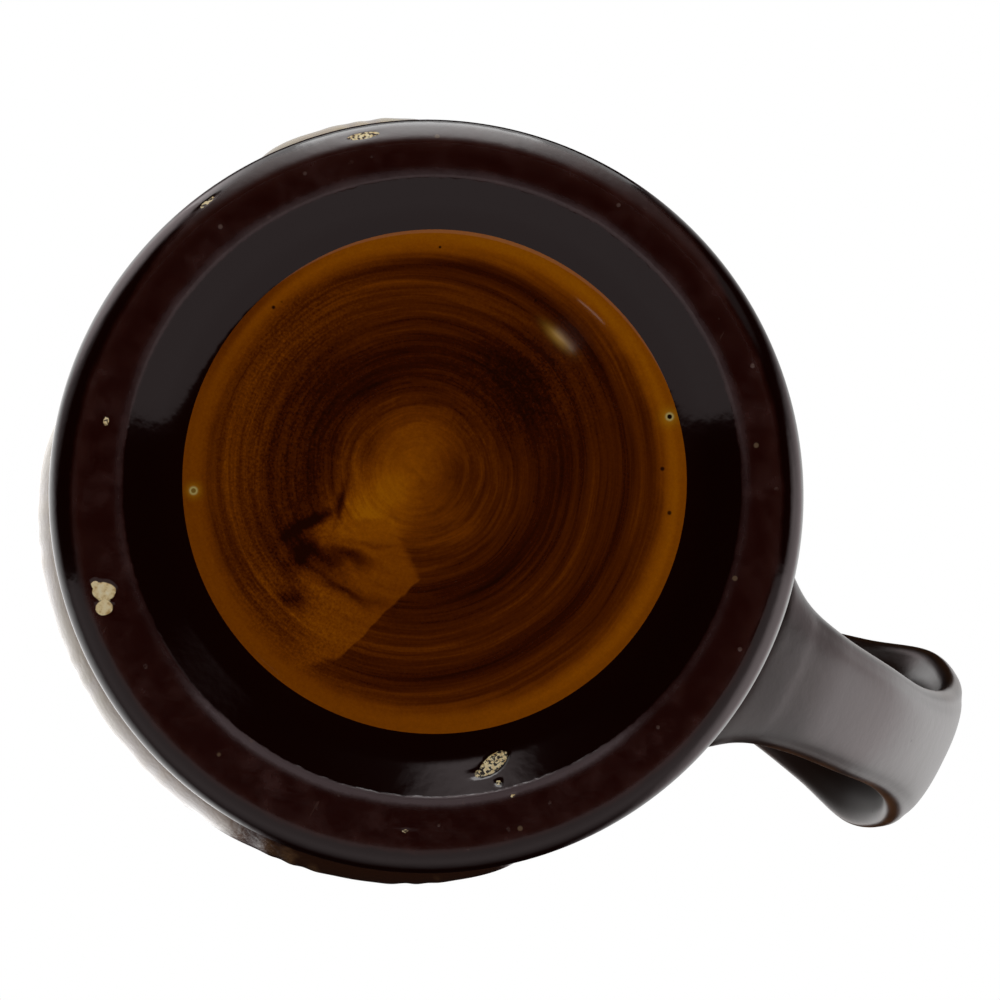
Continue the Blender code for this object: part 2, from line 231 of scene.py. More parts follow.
def capped_rows(grid: Array, first: Array, last: Array, marks: dict[str, Array]) -> Shell:
    """Close a stack of rings with a point at each end.

    Args:
        grid: Points of the rings, rows by columns by 3.
        first: The point before the first ring.
        last: The point after the last ring.
        marks: Values at the rings' points; the end points take the mean of the ring beside them.

    Returns:
        A closed shell.
    """
    rows, columns = grid.shape[:2]
    count = rows * columns
    points = np.vstack((grid.reshape(-1, 3), first, last))
    triangles = np.vstack((fan(count, 0, columns, True),
                           fan(count + 1, count - columns, columns, False)))
    values = {mark: np.concatenate((v.ravel(), [v[0].mean(), v[-1].mean()]))
              for mark, v in marks.items()}
    return Shell(points, lattice(rows, columns), triangles, values).outward()


# ---------------------------------------------------------------------------------------------
# Materials


@dataclass(frozen=True)
class Amount:
    """A number that varies over a surface: a node socket that can be computed with."""

    book: "NodeBook"
    socket: bpy.types.NodeSocket

    def _with(self, operation: str, first: "Value", second: "Value" = 0.0) -> "Amount":
        """Add a Math node for one operation."""
        return self.book.value("ShaderNodeMath", {"operation": operation},
                               {0: first, 1: second})

    def __add__(self, other: "Value") -> "Amount":
        """self + other."""
        return self._with("ADD", self, other)

    __radd__ = __add__

    def __sub__(self, other: "Value") -> "Amount":
        """self - other."""
        return self._with("SUBTRACT", self, other)

    def __rsub__(self, other: "Value") -> "Amount":
        """other - self."""
        return self._with("SUBTRACT", other, self)

    def __mul__(self, other: "Value") -> "Amount":
        """self * other."""
        return self._with("MULTIPLY", self, other)

    __rmul__ = __mul__

    def __truediv__(self, other: "Value") -> "Amount":
        """self / other."""
        return self._with("DIVIDE", self, other)

    def __pow__(self, other: float) -> "Amount":
        """self to a power, with nothing below zero."""
        return self._with("POWER", self.at_least(0.0), other)

    def __abs__(self) -> "Amount":
        """The size of self."""
        return self._with("ABSOLUTE", self)

    def at_least(self, low: "Value") -> "Amount":
        """self, or low where that is more."""
        return self._with("MAXIMUM", self, low)

    def at_most(self, high: "Value") -> "Amount":
        """self, or high where that is less."""
        return self._with("MINIMUM", self, high)

    def clipped(self) -> "Amount":
        """self, kept from 0 to 1."""
        return self.at_least(0.0).at_most(1.0)

    def bell(self, width: float) -> "Amount":
        """exp(-(self / width)²)."""
        scaled = self * (1.0 / width)
        return self._with("EXPONENT", scaled * scaled * -1.0)

    def ease(self, low: float, high: float) -> "Amount":
        """A smooth step from 0 at low to 1 at high; low may be the greater."""
        return self.book.value("ShaderNodeMapRange", {"interpolation_type": "SMOOTHSTEP"},
                               {"Value": self, "From Min": low, "From Max": high}, "Result")


Value = Union[float, Amount]


def length(across: Amount, up: Amount) -> Amount:
    """Distance from the middle, the root of across² + up²."""
    return (across * across + up * up) ** 0.5


class NodeBook:
    """Builds one node tree, by expressions on amounts and one method for every other node."""

    def __init__(self, tree: bpy.types.NodeTree) -> None:
        """Start on a tree.

        Args:
            tree: A material's or a world's node tree.
        """
        self.tree = tree

    def node(self, kind: str, settings: Optional[dict] = None,
             sockets: Optional[dict] = None) -> bpy.types.Node:
        """Add a node of any type.

        Args:
            kind: The node's type.
            settings: Its own settings, set first; "stops" are a colour ramp's places and colours.
            sockets: Values, colours, amounts or node sockets for its inputs, by name or number.

        Returns:
            The new node.
        """
        made = self.tree.nodes.new(kind)
        for name, setting in (settings or {}).items():
            if name == "stops":
                self._set_stops(made.color_ramp, setting)
            else:
                setattr(made, name, setting)
        for name, source in (sockets or {}).items():
            self.feed(made.inputs[name], source)
        return made

    def feed(self, socket: bpy.types.NodeSocket, source: object) -> None:
        """Give a socket a value, or link what drives it.

        Args:
            socket: The input.
            source: An amount, a node's output, a number, a colour or a vector.
        """
        if isinstance(source, Amount):
            self.tree.links.new(source.socket, socket)
        elif isinstance(source, bpy.types.NodeSocket):
            self.tree.links.new(source, socket)
        elif socket.type == "RGBA":
            socket.default_value = (*source[:3], 1.0)
        else:
            socket.default_value = source

    @staticmethod
    def _set_stops(ramp: bpy.types.ColorRamp, stops: list) -> None:
        """Give a colour ramp its stops, each a place and a colour."""
        while len(ramp.elements) < len(stops):
            ramp.elements.new(1.0)
        for element, (place, colour) in zip(ramp.elements, stops):
            element.position = place
            element.color = (*colour, 1.0)

    def value(self, kind: str, settings: Optional[dict], sockets: dict,
              output: Union[str, int] = 0) -> Amount:
        """Add a node and take one of its outputs as an amount."""
        return Amount(self, self.node(kind, settings, sockets).outputs[output])

    def place(self) -> bpy.types.NodeSocket:
        """Object coordinates."""
        return self.node("ShaderNodeTexCoord").outputs["Object"]

    def mark(self, name: str) -> Amount:
        """A value kept on the piece's points."""
        return self.value("ShaderNodeAttribute", {"attribute_name": name}, {}, "Fac")

    def along(self, vector: object, axis: tuple[float, float, float]) -> Amount:
        """The part of a vector that lies along an axis, their dot product."""
        return self.value("ShaderNodeVectorMath", {"operation": "DOT_PRODUCT"},
                          {0: vector, 1: axis}, "Value")

    def stretch(self, vector: object, scale: tuple[float, float, float],
                shift: tuple[float, float, float] = (0.0, 0.0, 0.0)) -> bpy.types.NodeSocket:
        """Scale a vector along each axis, then move it."""
        return self.node("ShaderNodeVectorMath", {"operation": "MULTIPLY_ADD"},
                         {0: vector, 1: scale, 2: shift}).outputs["Vector"]

    def vector(self, x: Value, y: Value, z: Value) -> bpy.types.NodeSocket:
        """A vector of three amounts."""
        return self.node("ShaderNodeCombineXYZ", None, {0: x, 1: y, 2: z}).outputs[0]

    def noise(self, vector: object, scale: float, detail: float = 2.0,
              roughness: float = 0.5) -> Amount:
        """Soft noise about 0.5; scale is in cells to a unit of the vector."""
        return self.value("ShaderNodeTexNoise", None,
                          {"Vector": vector, "Scale": scale, "Detail": detail,
                           "Roughness": roughness}, "Fac")

    def specks(self, vector: object, scale: float, share: float, size: float) -> Amount:
        """Scattered round specks: in some cells of a Voronoi pattern, a dot round the middle.

        Args:
            vector: Coordinates.
            scale: Cells to a unit of the vector.
            share: Share of the cells that have a speck.
            size: A speck's radius, in cells.

        Returns:
            1 on the specks and 0 between them.
        """
        cells = self.node("ShaderNodeTexVoronoi", {"feature": "F1"},
                          {"Vector": vector, "Scale": scale})
        dice = self.along(cells.outputs["Color"], (1.0, 0.0, 0.0))
        distance = Amount(self, cells.outputs["Distance"])
        return distance.ease(size, size * 0.55) * dice.ease(share + 0.01, share)

    def blend(self, factor: Value, first: object, second: object) -> bpy.types.NodeSocket:
        """A colour between two, first where factor is 0 and second where it is 1."""
        return self.node("ShaderNodeMix", {"data_type": "RGBA"},
                         {0: factor, 6: first, 7: second}).outputs[2]

    def ramp(self, factor: Value, stops: list) -> bpy.types.NodeSocket:
        """A colour that runs through stops as factor goes from 0 to 1."""
        return self.node("ShaderNodeValToRGB", {"stops": stops}, {0: factor}).outputs["Color"]

    def bump(self, height: Amount, depth: float) -> bpy.types.NodeSocket:
        """A normal tilted by a height of 0 to 1 that stands for depth in metres."""
        return self.node("ShaderNodeBump", None, {"Strength": 1.0, "Distance": depth,
                                                  "Height": height}).outputs["Normal"]


@dataclass(frozen=True)
class Finish:
    """A fired surface; each kind fills in its colour, gloss and grain."""

    name: str

    def material(self) -> bpy.types.Material:
        """Build the node material.

        Returns:
            The material, its Principled shader fed by the finish's own pattern.
        """
        made = bpy.data.materials.new(self.name)
        made.use_nodes = True
        book = NodeBook(made.node_tree)
        shader = made.node_tree.nodes["Principled BSDF"]
        shader.inputs["IOR"].default_value = GLAZE_IOR
        self.dress(book, shader)
        return made

    def dress(self, book: NodeBook, shader: bpy.types.Node) -> None:
        """Feed the shader; each finish has its own."""
        raise NotImplementedError


def from_axis(book: NodeBook, off: float = 0.0) -> tuple[Amount, Amount]:
    """Across and up on the underside, in millimetres from the jug's axis.

    Args:
        book: The tree to add to.
        off: How far the middle lies from the axis towards -Y, in millimetres.

    Returns:
        The two amounts.
    """
    centred = book.stretch(book.place(), (1000.0, 1000.0, 1000.0),
                           (-FORM.axis_x / MM, off, 0.0))
    return (book.along(centred, (ACROSS[0], ACROSS[1], 0.0)),
            book.along(centred, (UP[0], UP[1], 0.0)))


@dataclass(frozen=True)
class TreacleGlaze(Finish):
    """Thick treacle-brown glaze, which breaks to tan where it has drawn thin over an edge."""

    deep: Colour = (0.016, 0.0050, 0.0022)
    brown: Colour = (0.052, 0.0165, 0.0060)
    thin: Colour = (0.23, 0.098, 0.030)
    gloss: float = 0.075

    def dress(self, book: NodeBook, shader: bpy.types.Node) -> None:
        """Colour by glaze thickness, gloss, and a fine orange peel.

        Args:
            book: The material's tree.
            shader: Its Principled shader.
        """
        place = book.place()
        cloud = book.noise(place, 55.0, 3.0)
        curtain = book.noise(book.stretch(place, (1.0, 1.0, 0.22)), 160.0, 3.0)
        grain = book.noise(place, 1400.0, 2.0)
        drawn = book.mark("thin")
        thinness = (drawn + (cloud - 0.5) * 0.5 + (curtain - 0.5) * 0.35
                    + (grain - 0.5) * 0.12).clipped()
        colour = book.ramp(thinness, [(0.0, self.deep), (0.38, self.brown),
                                      (0.72, tuple(0.5 * (a + b) for a, b in
                                                   zip(self.brown, self.thin))),
                                      (1.0, self.thin)])
        specks = book.specks(place, 190.0, 0.10, 0.10)
        colour = book.blend(specks * 0.7, colour, (0.004, 0.002, 0.001))
        book.feed(shader.inputs["Base Color"], colour)
        book.feed(shader.inputs["Roughness"], self.gloss + (cloud * 0.05) + specks * 0.2)
        peel = book.noise(place, 420.0, 1.5) * 0.75 + book.noise(place, 1500.0, 1.0) * 0.25
        book.feed(shader.inputs["Normal"], book.bump(peel, 0.045 * MM))


@dataclass(frozen=True)
class StrapGlaze(TreacleGlaze):
    """The handle's satin glaze, with a dark, dull coat on one inner side: painted shade."""

    deep: Colour = (0.009, 0.0035, 0.0020)
    brown: Colour = (0.022, 0.0095, 0.0055)
    gloss: float = 0.26
    # Colour of the dull coat that paints shade on one inner side of the strap
    painted_shade_colour: Colour = (0.016, 0.0080, 0.0052)

    def dress(self, book: NodeBook, shader: bpy.types.Node) -> None:
        """The treacle glaze, mixed by the mark with a dark, dull coat of painted shade.

        Args:
            book: The material's tree.
            shader: Its Principled shader.
        """
        super().dress(book, shader)
        coat = book.node("ShaderNodeBsdfPrincipled", None,
                         {"Base Color": self.painted_shade_colour, "Roughness": 0.6, "Specular IOR Level": 0.15})
        mixed = book.node("ShaderNodeMixShader", None,
                          {0: book.mark("dull_painted_shade"), 1: shader.outputs[0], 2: coat.outputs[0]})
        book.feed(book.tree.nodes["Material Output"].inputs["Surface"], mixed.outputs[0])


@dataclass(frozen=True)
class LiningGlaze(Finish):
    """Amber lining inside the jug, darker where it pooled in the throwing rings."""

    thin: Colour = (0.48, 0.20, 0.035)
    pooled: Colour = (0.12, 0.030, 0.006)

    def dress(self, book: NodeBook, shader: bpy.types.Node) -> None:
        """Colour by the depth of the rings, with soft mottling.

        Args:
            book: The material's tree.
            shader: Its Principled shader.
        """
        place = book.place()
        cloud = book.noise(place, 60.0, 4.0)
        grain = book.noise(place, 900.0, 2.0)
        depth = (book.mark("thin") * 0.55 + (cloud - 0.5) * 0.9 + (grain - 0.5) * 0.25
                 + 0.22).clipped()
        book.feed(shader.inputs["Base Color"], book.blend(depth, self.pooled, self.thin))
        book.feed(shader.inputs["Roughness"], 0.10 + cloud * 0.08)
        book.feed(shader.inputs["Normal"],
                  book.bump(book.noise(place, 500.0, 2.0), 0.04 * MM))


@dataclass(frozen=True)
class FootFinish(Finish):
    """The foot: a wiped, matt standing ring between a glossy outer round and a glossy recess."""

    gloss_colour: Colour = (0.0062, 0.0007, 0.0002)
    matt_colour: Colour = (0.0150, 0.0015, 0.0005)
    rubbed_colour: Colour = (0.032, 0.0080, 0.0052)
    worn_colour: Colour = (0.050, 0.020, 0.0175)
    # Grey of the painted highlight along the ring's inner edge
    painted_edge_highlight_colour: Colour = (0.085, 0.062, 0.064)
    scuff_colour: Colour = (0.060, 0.032, 0.025)
    dust_colour: Colour = (0.13, 0.085, 0.070)
    tan_dust_colour: Colour = (0.15, 0.10, 0.055)
    body_colour: Colour = (0.80, 0.66, 0.36)
    ring_outer: float = 53.2
    ring_inner: float = 47.2
    wiped_over: float = 2.8

    def dress(self, book: NodeBook, shader: bpy.types.Node) -> None:
        """Matt where the glaze was wiped, scuffed and speckled; a painted highlight on the inner
        edge; bared clay in the chips.

        Args:
            book: The material's tree.
            shader: Its Principled shader.
        """
        place = book.place()
        across, up = from_axis(book)
        radius = length(across, up)
        across_in, up_in = from_axis(book, FORM.ring_off_centre / MM)
        inner = length(across_in, up_in)
        edge = book.noise(place, 90.0, 3.0) - 0.5
        fine = book.noise(place, 700.0, 3.0) - 0.5
        # The wiped band runs further over the edge on the upper side
        side = up / radius.at_least(1.0) + across / radius.at_least(1.0) * 0.08
        reach = radius - side.ease(0.45, 0.93) * self.wiped_over
        under = 1.0 - book.along(place, (0.0, 0.0, 1000.0)).ease(2.2, 3.2)
        matt = ((reach + edge * 2.2 + fine * 0.4).ease(self.ring_outer + 0.9,
                                                      self.ring_outer - 0.5)
                * (inner + fine * 0.5 + edge * 0.3).ease(self.ring_inner - 0.85,
                                                         self.ring_inner - 0.45)
                * under)

        # Faint circular rub marks, a few crossing scuffs, and dust in the wiped glaze
        rub = book.noise(place, 260.0, 4.0, 0.6)
        scuff = book.noise(book.stretch(place, (600.0, 90.0, 1.0)), 1.0, 3.0)
        scuffs = scuff.ease(0.70, 0.78) * rub.ease(0.45, 0.60)
        dust = book.specks(place, 520.0, 0.10, 0.22) * rub.ease(0.42, 0.62)
        tan_dust = book.specks(place, 330.0, 0.045, 0.16)

        outer_rub = (radius + edge * 3.0).ease(51.0, 53.6) * 0.45
        worn = book.noise(place, 75.0, 5.0, 0.65).ease(0.42, 0.78) * rub.ease(0.30, 0.75)
        low = 1.0 - side.ease(-0.9, -0.6)
        # Painted highlight: a grey sheen line along the ring's inner edge, strongest on the lower
        # side
        painted_edge_highlight = ((inner - self.ring_inner + 0.15 + edge * 0.8).bell(0.75)
                  * (0.18 + side.ease(-0.1, 0.6) * 0.45 + low * 2.4)
                  * (book.noise(place, 1900.0, 3.0) * 0.7 + rub * 0.6))
        colour = book.blend(matt, self.gloss_colour, self.matt_colour)
        for share, paint in ((rub.ease(0.40, 0.75) * 0.45 + outer_rub, self.rubbed_colour),
                             (worn * 0.75, self.worn_colour), (painted_edge_highlight, self.painted_edge_highlight_colour),
                             (scuffs * 0.45, self.scuff_colour), (dust * 0.60, self.dust_colour),
                             (tan_dust * 0.65, self.tan_dust_colour)):
            colour = book.blend((matt * share).clipped(), colour, paint)

        # Chips show the pale clay under the glaze
        bared = book.mark("bared") + fine * 0.25
        chip = bared.ease(0.46, 0.56)
        clay = book.ramp(book.noise(place, 1500.0, 3.0) + (bared - 0.9) * 0.25,
                         [(0.25, (0.50, 0.33, 0.13)), (0.45, self.body_colour),
                          (0.75, (0.88, 0.80, 0.55))])
        speckle = book.mark("speckled") * book.noise(place, 2100.0, 2.0).ease(0.50, 0.56)
        colour = book.blend(chip * (1.0 - speckle), colour, clay)
        book.feed(shader.inputs["Base Color"], colour)

        wiped = matt * (radius.ease(self.ring_outer - 0.8, self.ring_outer + 0.4))
        gloss = 0.10 + matt * (0.02 + rub * 0.10) + wiped * 0.16 + chip * 0.45
        book.feed(shader.inputs["Roughness"], gloss.at_most(0.9))
        peel = (book.noise(place, 380.0, 1.5) * 0.55 + book.noise(place, 1300.0, 1.0) * 0.1
                + matt * (rub * 0.8 + fine * 0.35 + dust * 0.5))
        book.feed(shader.inputs["Normal"], book.bump(peel, 0.050 * MM))


@dataclass(frozen=True)
class Blot:
    """A soft mark on the amber disc, in shares of the disc's radius."""

    across: float
    up: float
    long: float
    wide: float
    turn: float
    depth: float

    def over(self, across: Amount, up: Amount) -> Amount:
        """The mark's depth over the disc, a bell along each of its own two axes.

        Args:
            across: Place across the disc.
            up: Place up the disc.

        Returns:
            What the mark adds to the glaze's thickness.
        """
        turn = math.radians(self.turn)
        lean_x, lean_y = math.cos(turn), math.sin(turn)
        aside, above = across - self.across, up - self.up
        run = (aside * lean_x + above * lean_y) * (1.0 / self.long)
        off = (above * lean_x - aside * lean_y) * (1.0 / self.wide)
        return length(run, off).bell(1.0) * self.depth


@dataclass(frozen=True)
class AmberDisc(Finish):
    """The amber glazed disc under the foot, streaked in rings by the potter's brush."""

    stops: tuple = ((0.0, (0.370, 0.120, 0.0008)), (0.20, (0.262, 0.070, 0.0006)),
                    (0.40, (0.155, 0.035, 0.0005)), (0.60, (0.080, 0.0150, 0.0004)),
                    (0.80, (0.038, 0.0055, 0.0004)), (1.0, (0.015, 0.0025, 0.0004)))
    radius: float = 38.2
    blots: tuple[Blot, ...] = (
        Blot(0.33, 0.37, 0.24, 0.17, 40.0, 0.24),
        Blot(0.55, 0.13, 0.30, 0.08, 80.0, 0.14),
        Blot(-0.02, 0.44, 0.34, 0.10, 8.0, 0.15),
        Blot(-0.27, 0.37, 0.12, 0.06, 35.0, 0.14),
        Blot(0.24, -0.38, 0.30, 0.13, 35.0, 0.10),
        Blot(-0.46, 0.10, 0.30, 0.08, 80.0, 0.16),
        Blot(-0.13, 0.06, 0.32, 0.17, 50.0, -0.40),
        Blot(-0.30, -0.20, 0.24, 0.15, 42.0, -0.44),
        Blot(0.06, -0.17, 0.12, 0.10, 0.0, -0.22),
        Blot(-0.80, 0.10, 0.50, 0.13, 80.0, -0.14),
        Blot(-0.62, -0.52, 0.26, 0.12, -35.0, -0.22),
    )
    stains: tuple[Blot, ...] = (
        Blot(-0.50, -0.165, 0.115, 0.022, 34.0, 0.62),
        Blot(-0.53, -0.28, 0.060, 0.040, 55.0, 0.55),
        Blot(-0.445, -0.300, 0.110, 0.030, -38.0, 0.50),
        Blot(-0.340, -0.300, 0.085, 0.030, -14.0, 0.55),
        Blot(-0.43, -0.37, 0.130, 0.016, -38.0, 0.34),
        Blot(-0.575, -0.465, 0.060, 0.030, -35.0, 0.46),
        Blot(-0.34, -0.44, 0.150, 0.020, -22.0, 0.26),
        Blot(-0.27, -0.25, 0.140, 0.014, -8.0, 0.16),
        Blot(-0.37, -0.07, 0.100, 0.016, 78.0, 0.42),
    )

    # A yellow mark on the disc: partly thin glaze, partly a painted highlight
    thin_glaze_and_highlight: Blot = Blot(0.488, 0.573, 0.062, 0.020, -45.0, 1.0)
    thin_glaze_and_highlight_colour: Colour = (0.62, 0.36, 0.045)
    pinholes: tuple = ((-0.956, -0.036, 0.026, (0.20, 0.12, 0.02)),
                       (0.932, 0.258, 0.032, (0.004, 0.001, 0.001)))
    halo_colour: Colour = (0.40, 0.19, 0.008)
    crater_colour: Colour = (0.50, 0.45, 0.17)
    iron_specks: tuple = ((0.903, 0.051, 0.008), (0.931, -0.124, 0.008), (0.40, 0.72, 0.005),
                          (-0.64, 0.69, 0.007), (0.02, 0.93, 0.005))
    iron_colour: Colour = (0.010, 0.002, 0.001)

    def dress(self, book: NodeBook, shader: bpy.types.Node) -> None:
        """Paint the glaze's thickness, take the colour from it, and lay a painted highlight over
        it.

        Args:
            book: The material's tree.
            shader: Its Principled shader.
        """
        place = book.place()
        across_mm, up_mm = from_axis(book, FORM.disc_off_centre / MM)
        plain_across, plain_up = across_mm * (1.0 / self.radius), up_mm * (1.0 / self.radius)
        disc = length(plain_across, plain_up)
        warp = book.noise(place, 260.0, 4.0) - 0.5
        warp_too = book.noise(book.stretch(place, (1.0, 1.0, 1.0), (0.3, 0.1, 0.2)),
                              260.0, 4.0) - 0.5
        across = plain_across + warp * 0.05
        up = plain_up + warp_too * 0.05

        # Rings, thrown a little to the upper left of the middle
        aside, above = plain_across - RINGS_ACROSS, plain_up - RINGS_UP
        ring = length(aside, above) * (1.0 / RINGS_SIZE)
        cos_turn, sin_turn = aside / ring.at_least(0.03), above / ring.at_least(0.03)
        wave = (book.noise(place, 60.0, 2.0) - 0.5) * 0.05
        lines = book.noise(book.vector((ring + wave) * 26.0, cos_turn * 0.9, sin_turn * 0.9),
                           1.0, 3.0, 0.62) - 0.5
        threads = book.noise(book.vector((ring + wave) * 70.0, cos_turn * 1.7, sin_turn * 1.7),
                             1.0, 2.0, 0.6) - 0.5
        bands = book.noise(book.vector(ring * 6.0, cos_turn * 0.8, sin_turn * 0.8),
                           1.0, 2.0) - 0.5
        uneven = ring + bands * 0.03
        inside = (disc + bands * 0.02 + warp * 0.03).ease(0.955, 0.855)
        right = aside.ease(-0.45, 0.25)
        groove = ((uneven - 0.985).bell(0.030) * (0.04 + right * 0.15)
                  + (uneven - 0.62).bell(0.10) * 0.10 - (uneven - 0.87).bell(0.05) * 0.08
                  - (uneven - 1.04).bell(0.025) * right * 0.08)
        drawn = ring.ease(0.05, 0.40) * 0.75 + 0.25
        thick = 0.18 + inside * (0.46 + drawn * (lines * 0.68 + threads * 0.34) + bands * 0.30
                                 + groove)
        for blot in self.blots:
            thick = thick + inside * blot.over(across, up)

        # The rim is lighter on the upper and the right side; its very edge darkens in places
        rim = 1.0 - inside
        thick = thick + rim * (0.05 - (plain_across * 0.85 + plain_up * 0.28) * 0.12
                               + lines * 0.10)
        edge_dark = (plain_across + 0.05).ease(0.2, 0.9) * 0.10 + (
            (plain_across + 0.75).bell(0.25) * plain_up.ease(0.2, 0.6) * 0.22)
        thick = thick + disc.ease(0.955, 0.985) * edge_dark
        # Painted highlight: a lighter line along the disc's very edge on its upper side
        thick = thick - (disc - 0.975).bell(0.03) * up.ease(0.3, 0.8) * 0.06

        # The wiped wedge at the lower left, crisp along its right edge
        wedge = ((up + 0.389) * 0.718 - (across + 0.058) * 0.695 + warp * 0.02).ease(-0.004, 0.006)
        wedge = (wedge * (across + up * 0.55).ease(-0.255, -0.29)
                 * (up - across * 0.12).ease(-0.10, -0.125)
                 * (across - up * 0.10).ease(-0.56, -0.38)
                 * (up - across * 0.25).ease(-0.62, -0.585) * 0.75)
        thick = thick + wedge * (0.24 - thick)
        for stain in self.stains:
            thick = thick + stain.over(across + warp * 0.03, up + warp_too * 0.03)

        # Grain: fine pores everywhere, coarse soot in the dark patch
        sooty = length((plain_across - 0.36) * 0.8, plain_up - 0.38).bell(0.22)
        pores = book.noise(place, 2600.0, 2.0, 0.6) - 0.5
        coarse = book.noise(place, 1100.0, 3.0, 0.65) - 0.5
        left = (plain_across + 0.62).bell(0.30) * inside
        thick = thick + pores * (0.16 + left * 0.45 + sooty * 0.5) + coarse * (
            0.08 + sooty * 0.45 + left * 0.20)
        colour = book.ramp(thick.clipped(), list(self.stops))

        # A yellow mark along the groove, partly thin glaze and partly a painted highlight: a soft
        # glint painted into the colour
        thin_glaze_and_highlight = self.thin_glaze_and_highlight.over(plain_across, plain_up) * (0.8 + lines * 1.2)
        colour = book.blend(thin_glaze_and_highlight.clipped() * 0.6, colour, self.thin_glaze_and_highlight_colour)
        # Pinholes and iron specks
        for at_x, at_y, halo, core in self.pinholes:
            gap = length(plain_across - at_x, plain_up - at_y)
            colour = book.blend(gap.bell(halo) * 0.8, colour, self.halo_colour)
            colour = book.blend((gap - 0.0125).bell(0.0045) * 0.8, colour, self.crater_colour)
            colour = book.blend(gap.ease(0.0115, 0.0070), colour, core)
        for at_x, at_y, size in self.iron_specks:
            gap = length(plain_across - at_x, plain_up - at_y)
            colour = book.blend(gap.ease(size * 1.5, size * 0.6) * 0.9, colour, self.iron_colour)
        specks = book.specks(place, 420.0, 0.05, 0.10)
        colour = book.blend(specks * 0.5, colour, (0.018, 0.004, 0.001))
        book.feed(shader.inputs["Base Color"], colour)
        book.feed(shader.inputs["Roughness"], 0.020 + inside * 0.008)
        grain = (book.noise(place, 500.0, 2.0) * 0.25 + book.noise(place, 2300.0, 2.0) * 0.55
                 + threads * 0.20)
        book.feed(shader.inputs["Normal"], book.bump(grain, 0.00012 * MM))


@dataclass(frozen=True)
class ReliefGlaze(Finish):
    """Raised work under thinned glaze: pale on the crowns, brown where the glaze ran down."""

    crown: Colour = (0.52, 0.34, 0.165)
    middle: Colour = (0.28, 0.135, 0.048)
    hollow: Colour = (0.045, 0.0145, 0.006)
    tint: Colour = (0.30, 0.27, 0.12)
    tint_share: float = 0.5

    def dress(self, book: NodeBook, shader: bpy.types.Node) -> None:
        """Colour by the "thin" mark, tinted in patches.

        Args:
            book: The material's tree.
            shader: Its Principled shader.
        """
        place = book.place()
        cloud = book.noise(place, 120.0, 3.0)
        grain = book.noise(place, 1100.0, 3.0)
        thinness = (book.mark("thin") + (cloud - 0.5) * 0.55 + (grain - 0.5) * 0.30).clipped()
        tinted = book.blend(book.noise(place, 70.0, 2.0).ease(0.42, 0.60) * self.tint_share,
                            self.crown, self.tint)
        colour = book.blend(thinness.ease(0.0, 0.5), self.hollow, self.middle)
        colour = book.blend(thinness.ease(0.40, 0.95), colour, tinted)
        specks = book.specks(place, 300.0, 0.08, 0.12)
        colour = book.blend(specks * 0.6, colour, (0.03, 0.010, 0.004))
        book.feed(shader.inputs["Base Color"], colour)
        book.feed(shader.inputs["Roughness"], 0.09 + cloud * 0.07)
        peel = book.noise(place, 700.0, 2.0)
        book.feed(shader.inputs["Normal"], book.bump(peel, 0.05 * MM))


# ---------------------------------------------------------------------------------------------
# The turned body


class Zone(Enum):
    """Parts of the turned body, each with a finish of its own; the value is its face slot."""

    LINING = 0
    OUTSIDE = 1
    FOOT = 2
    DISC = 3


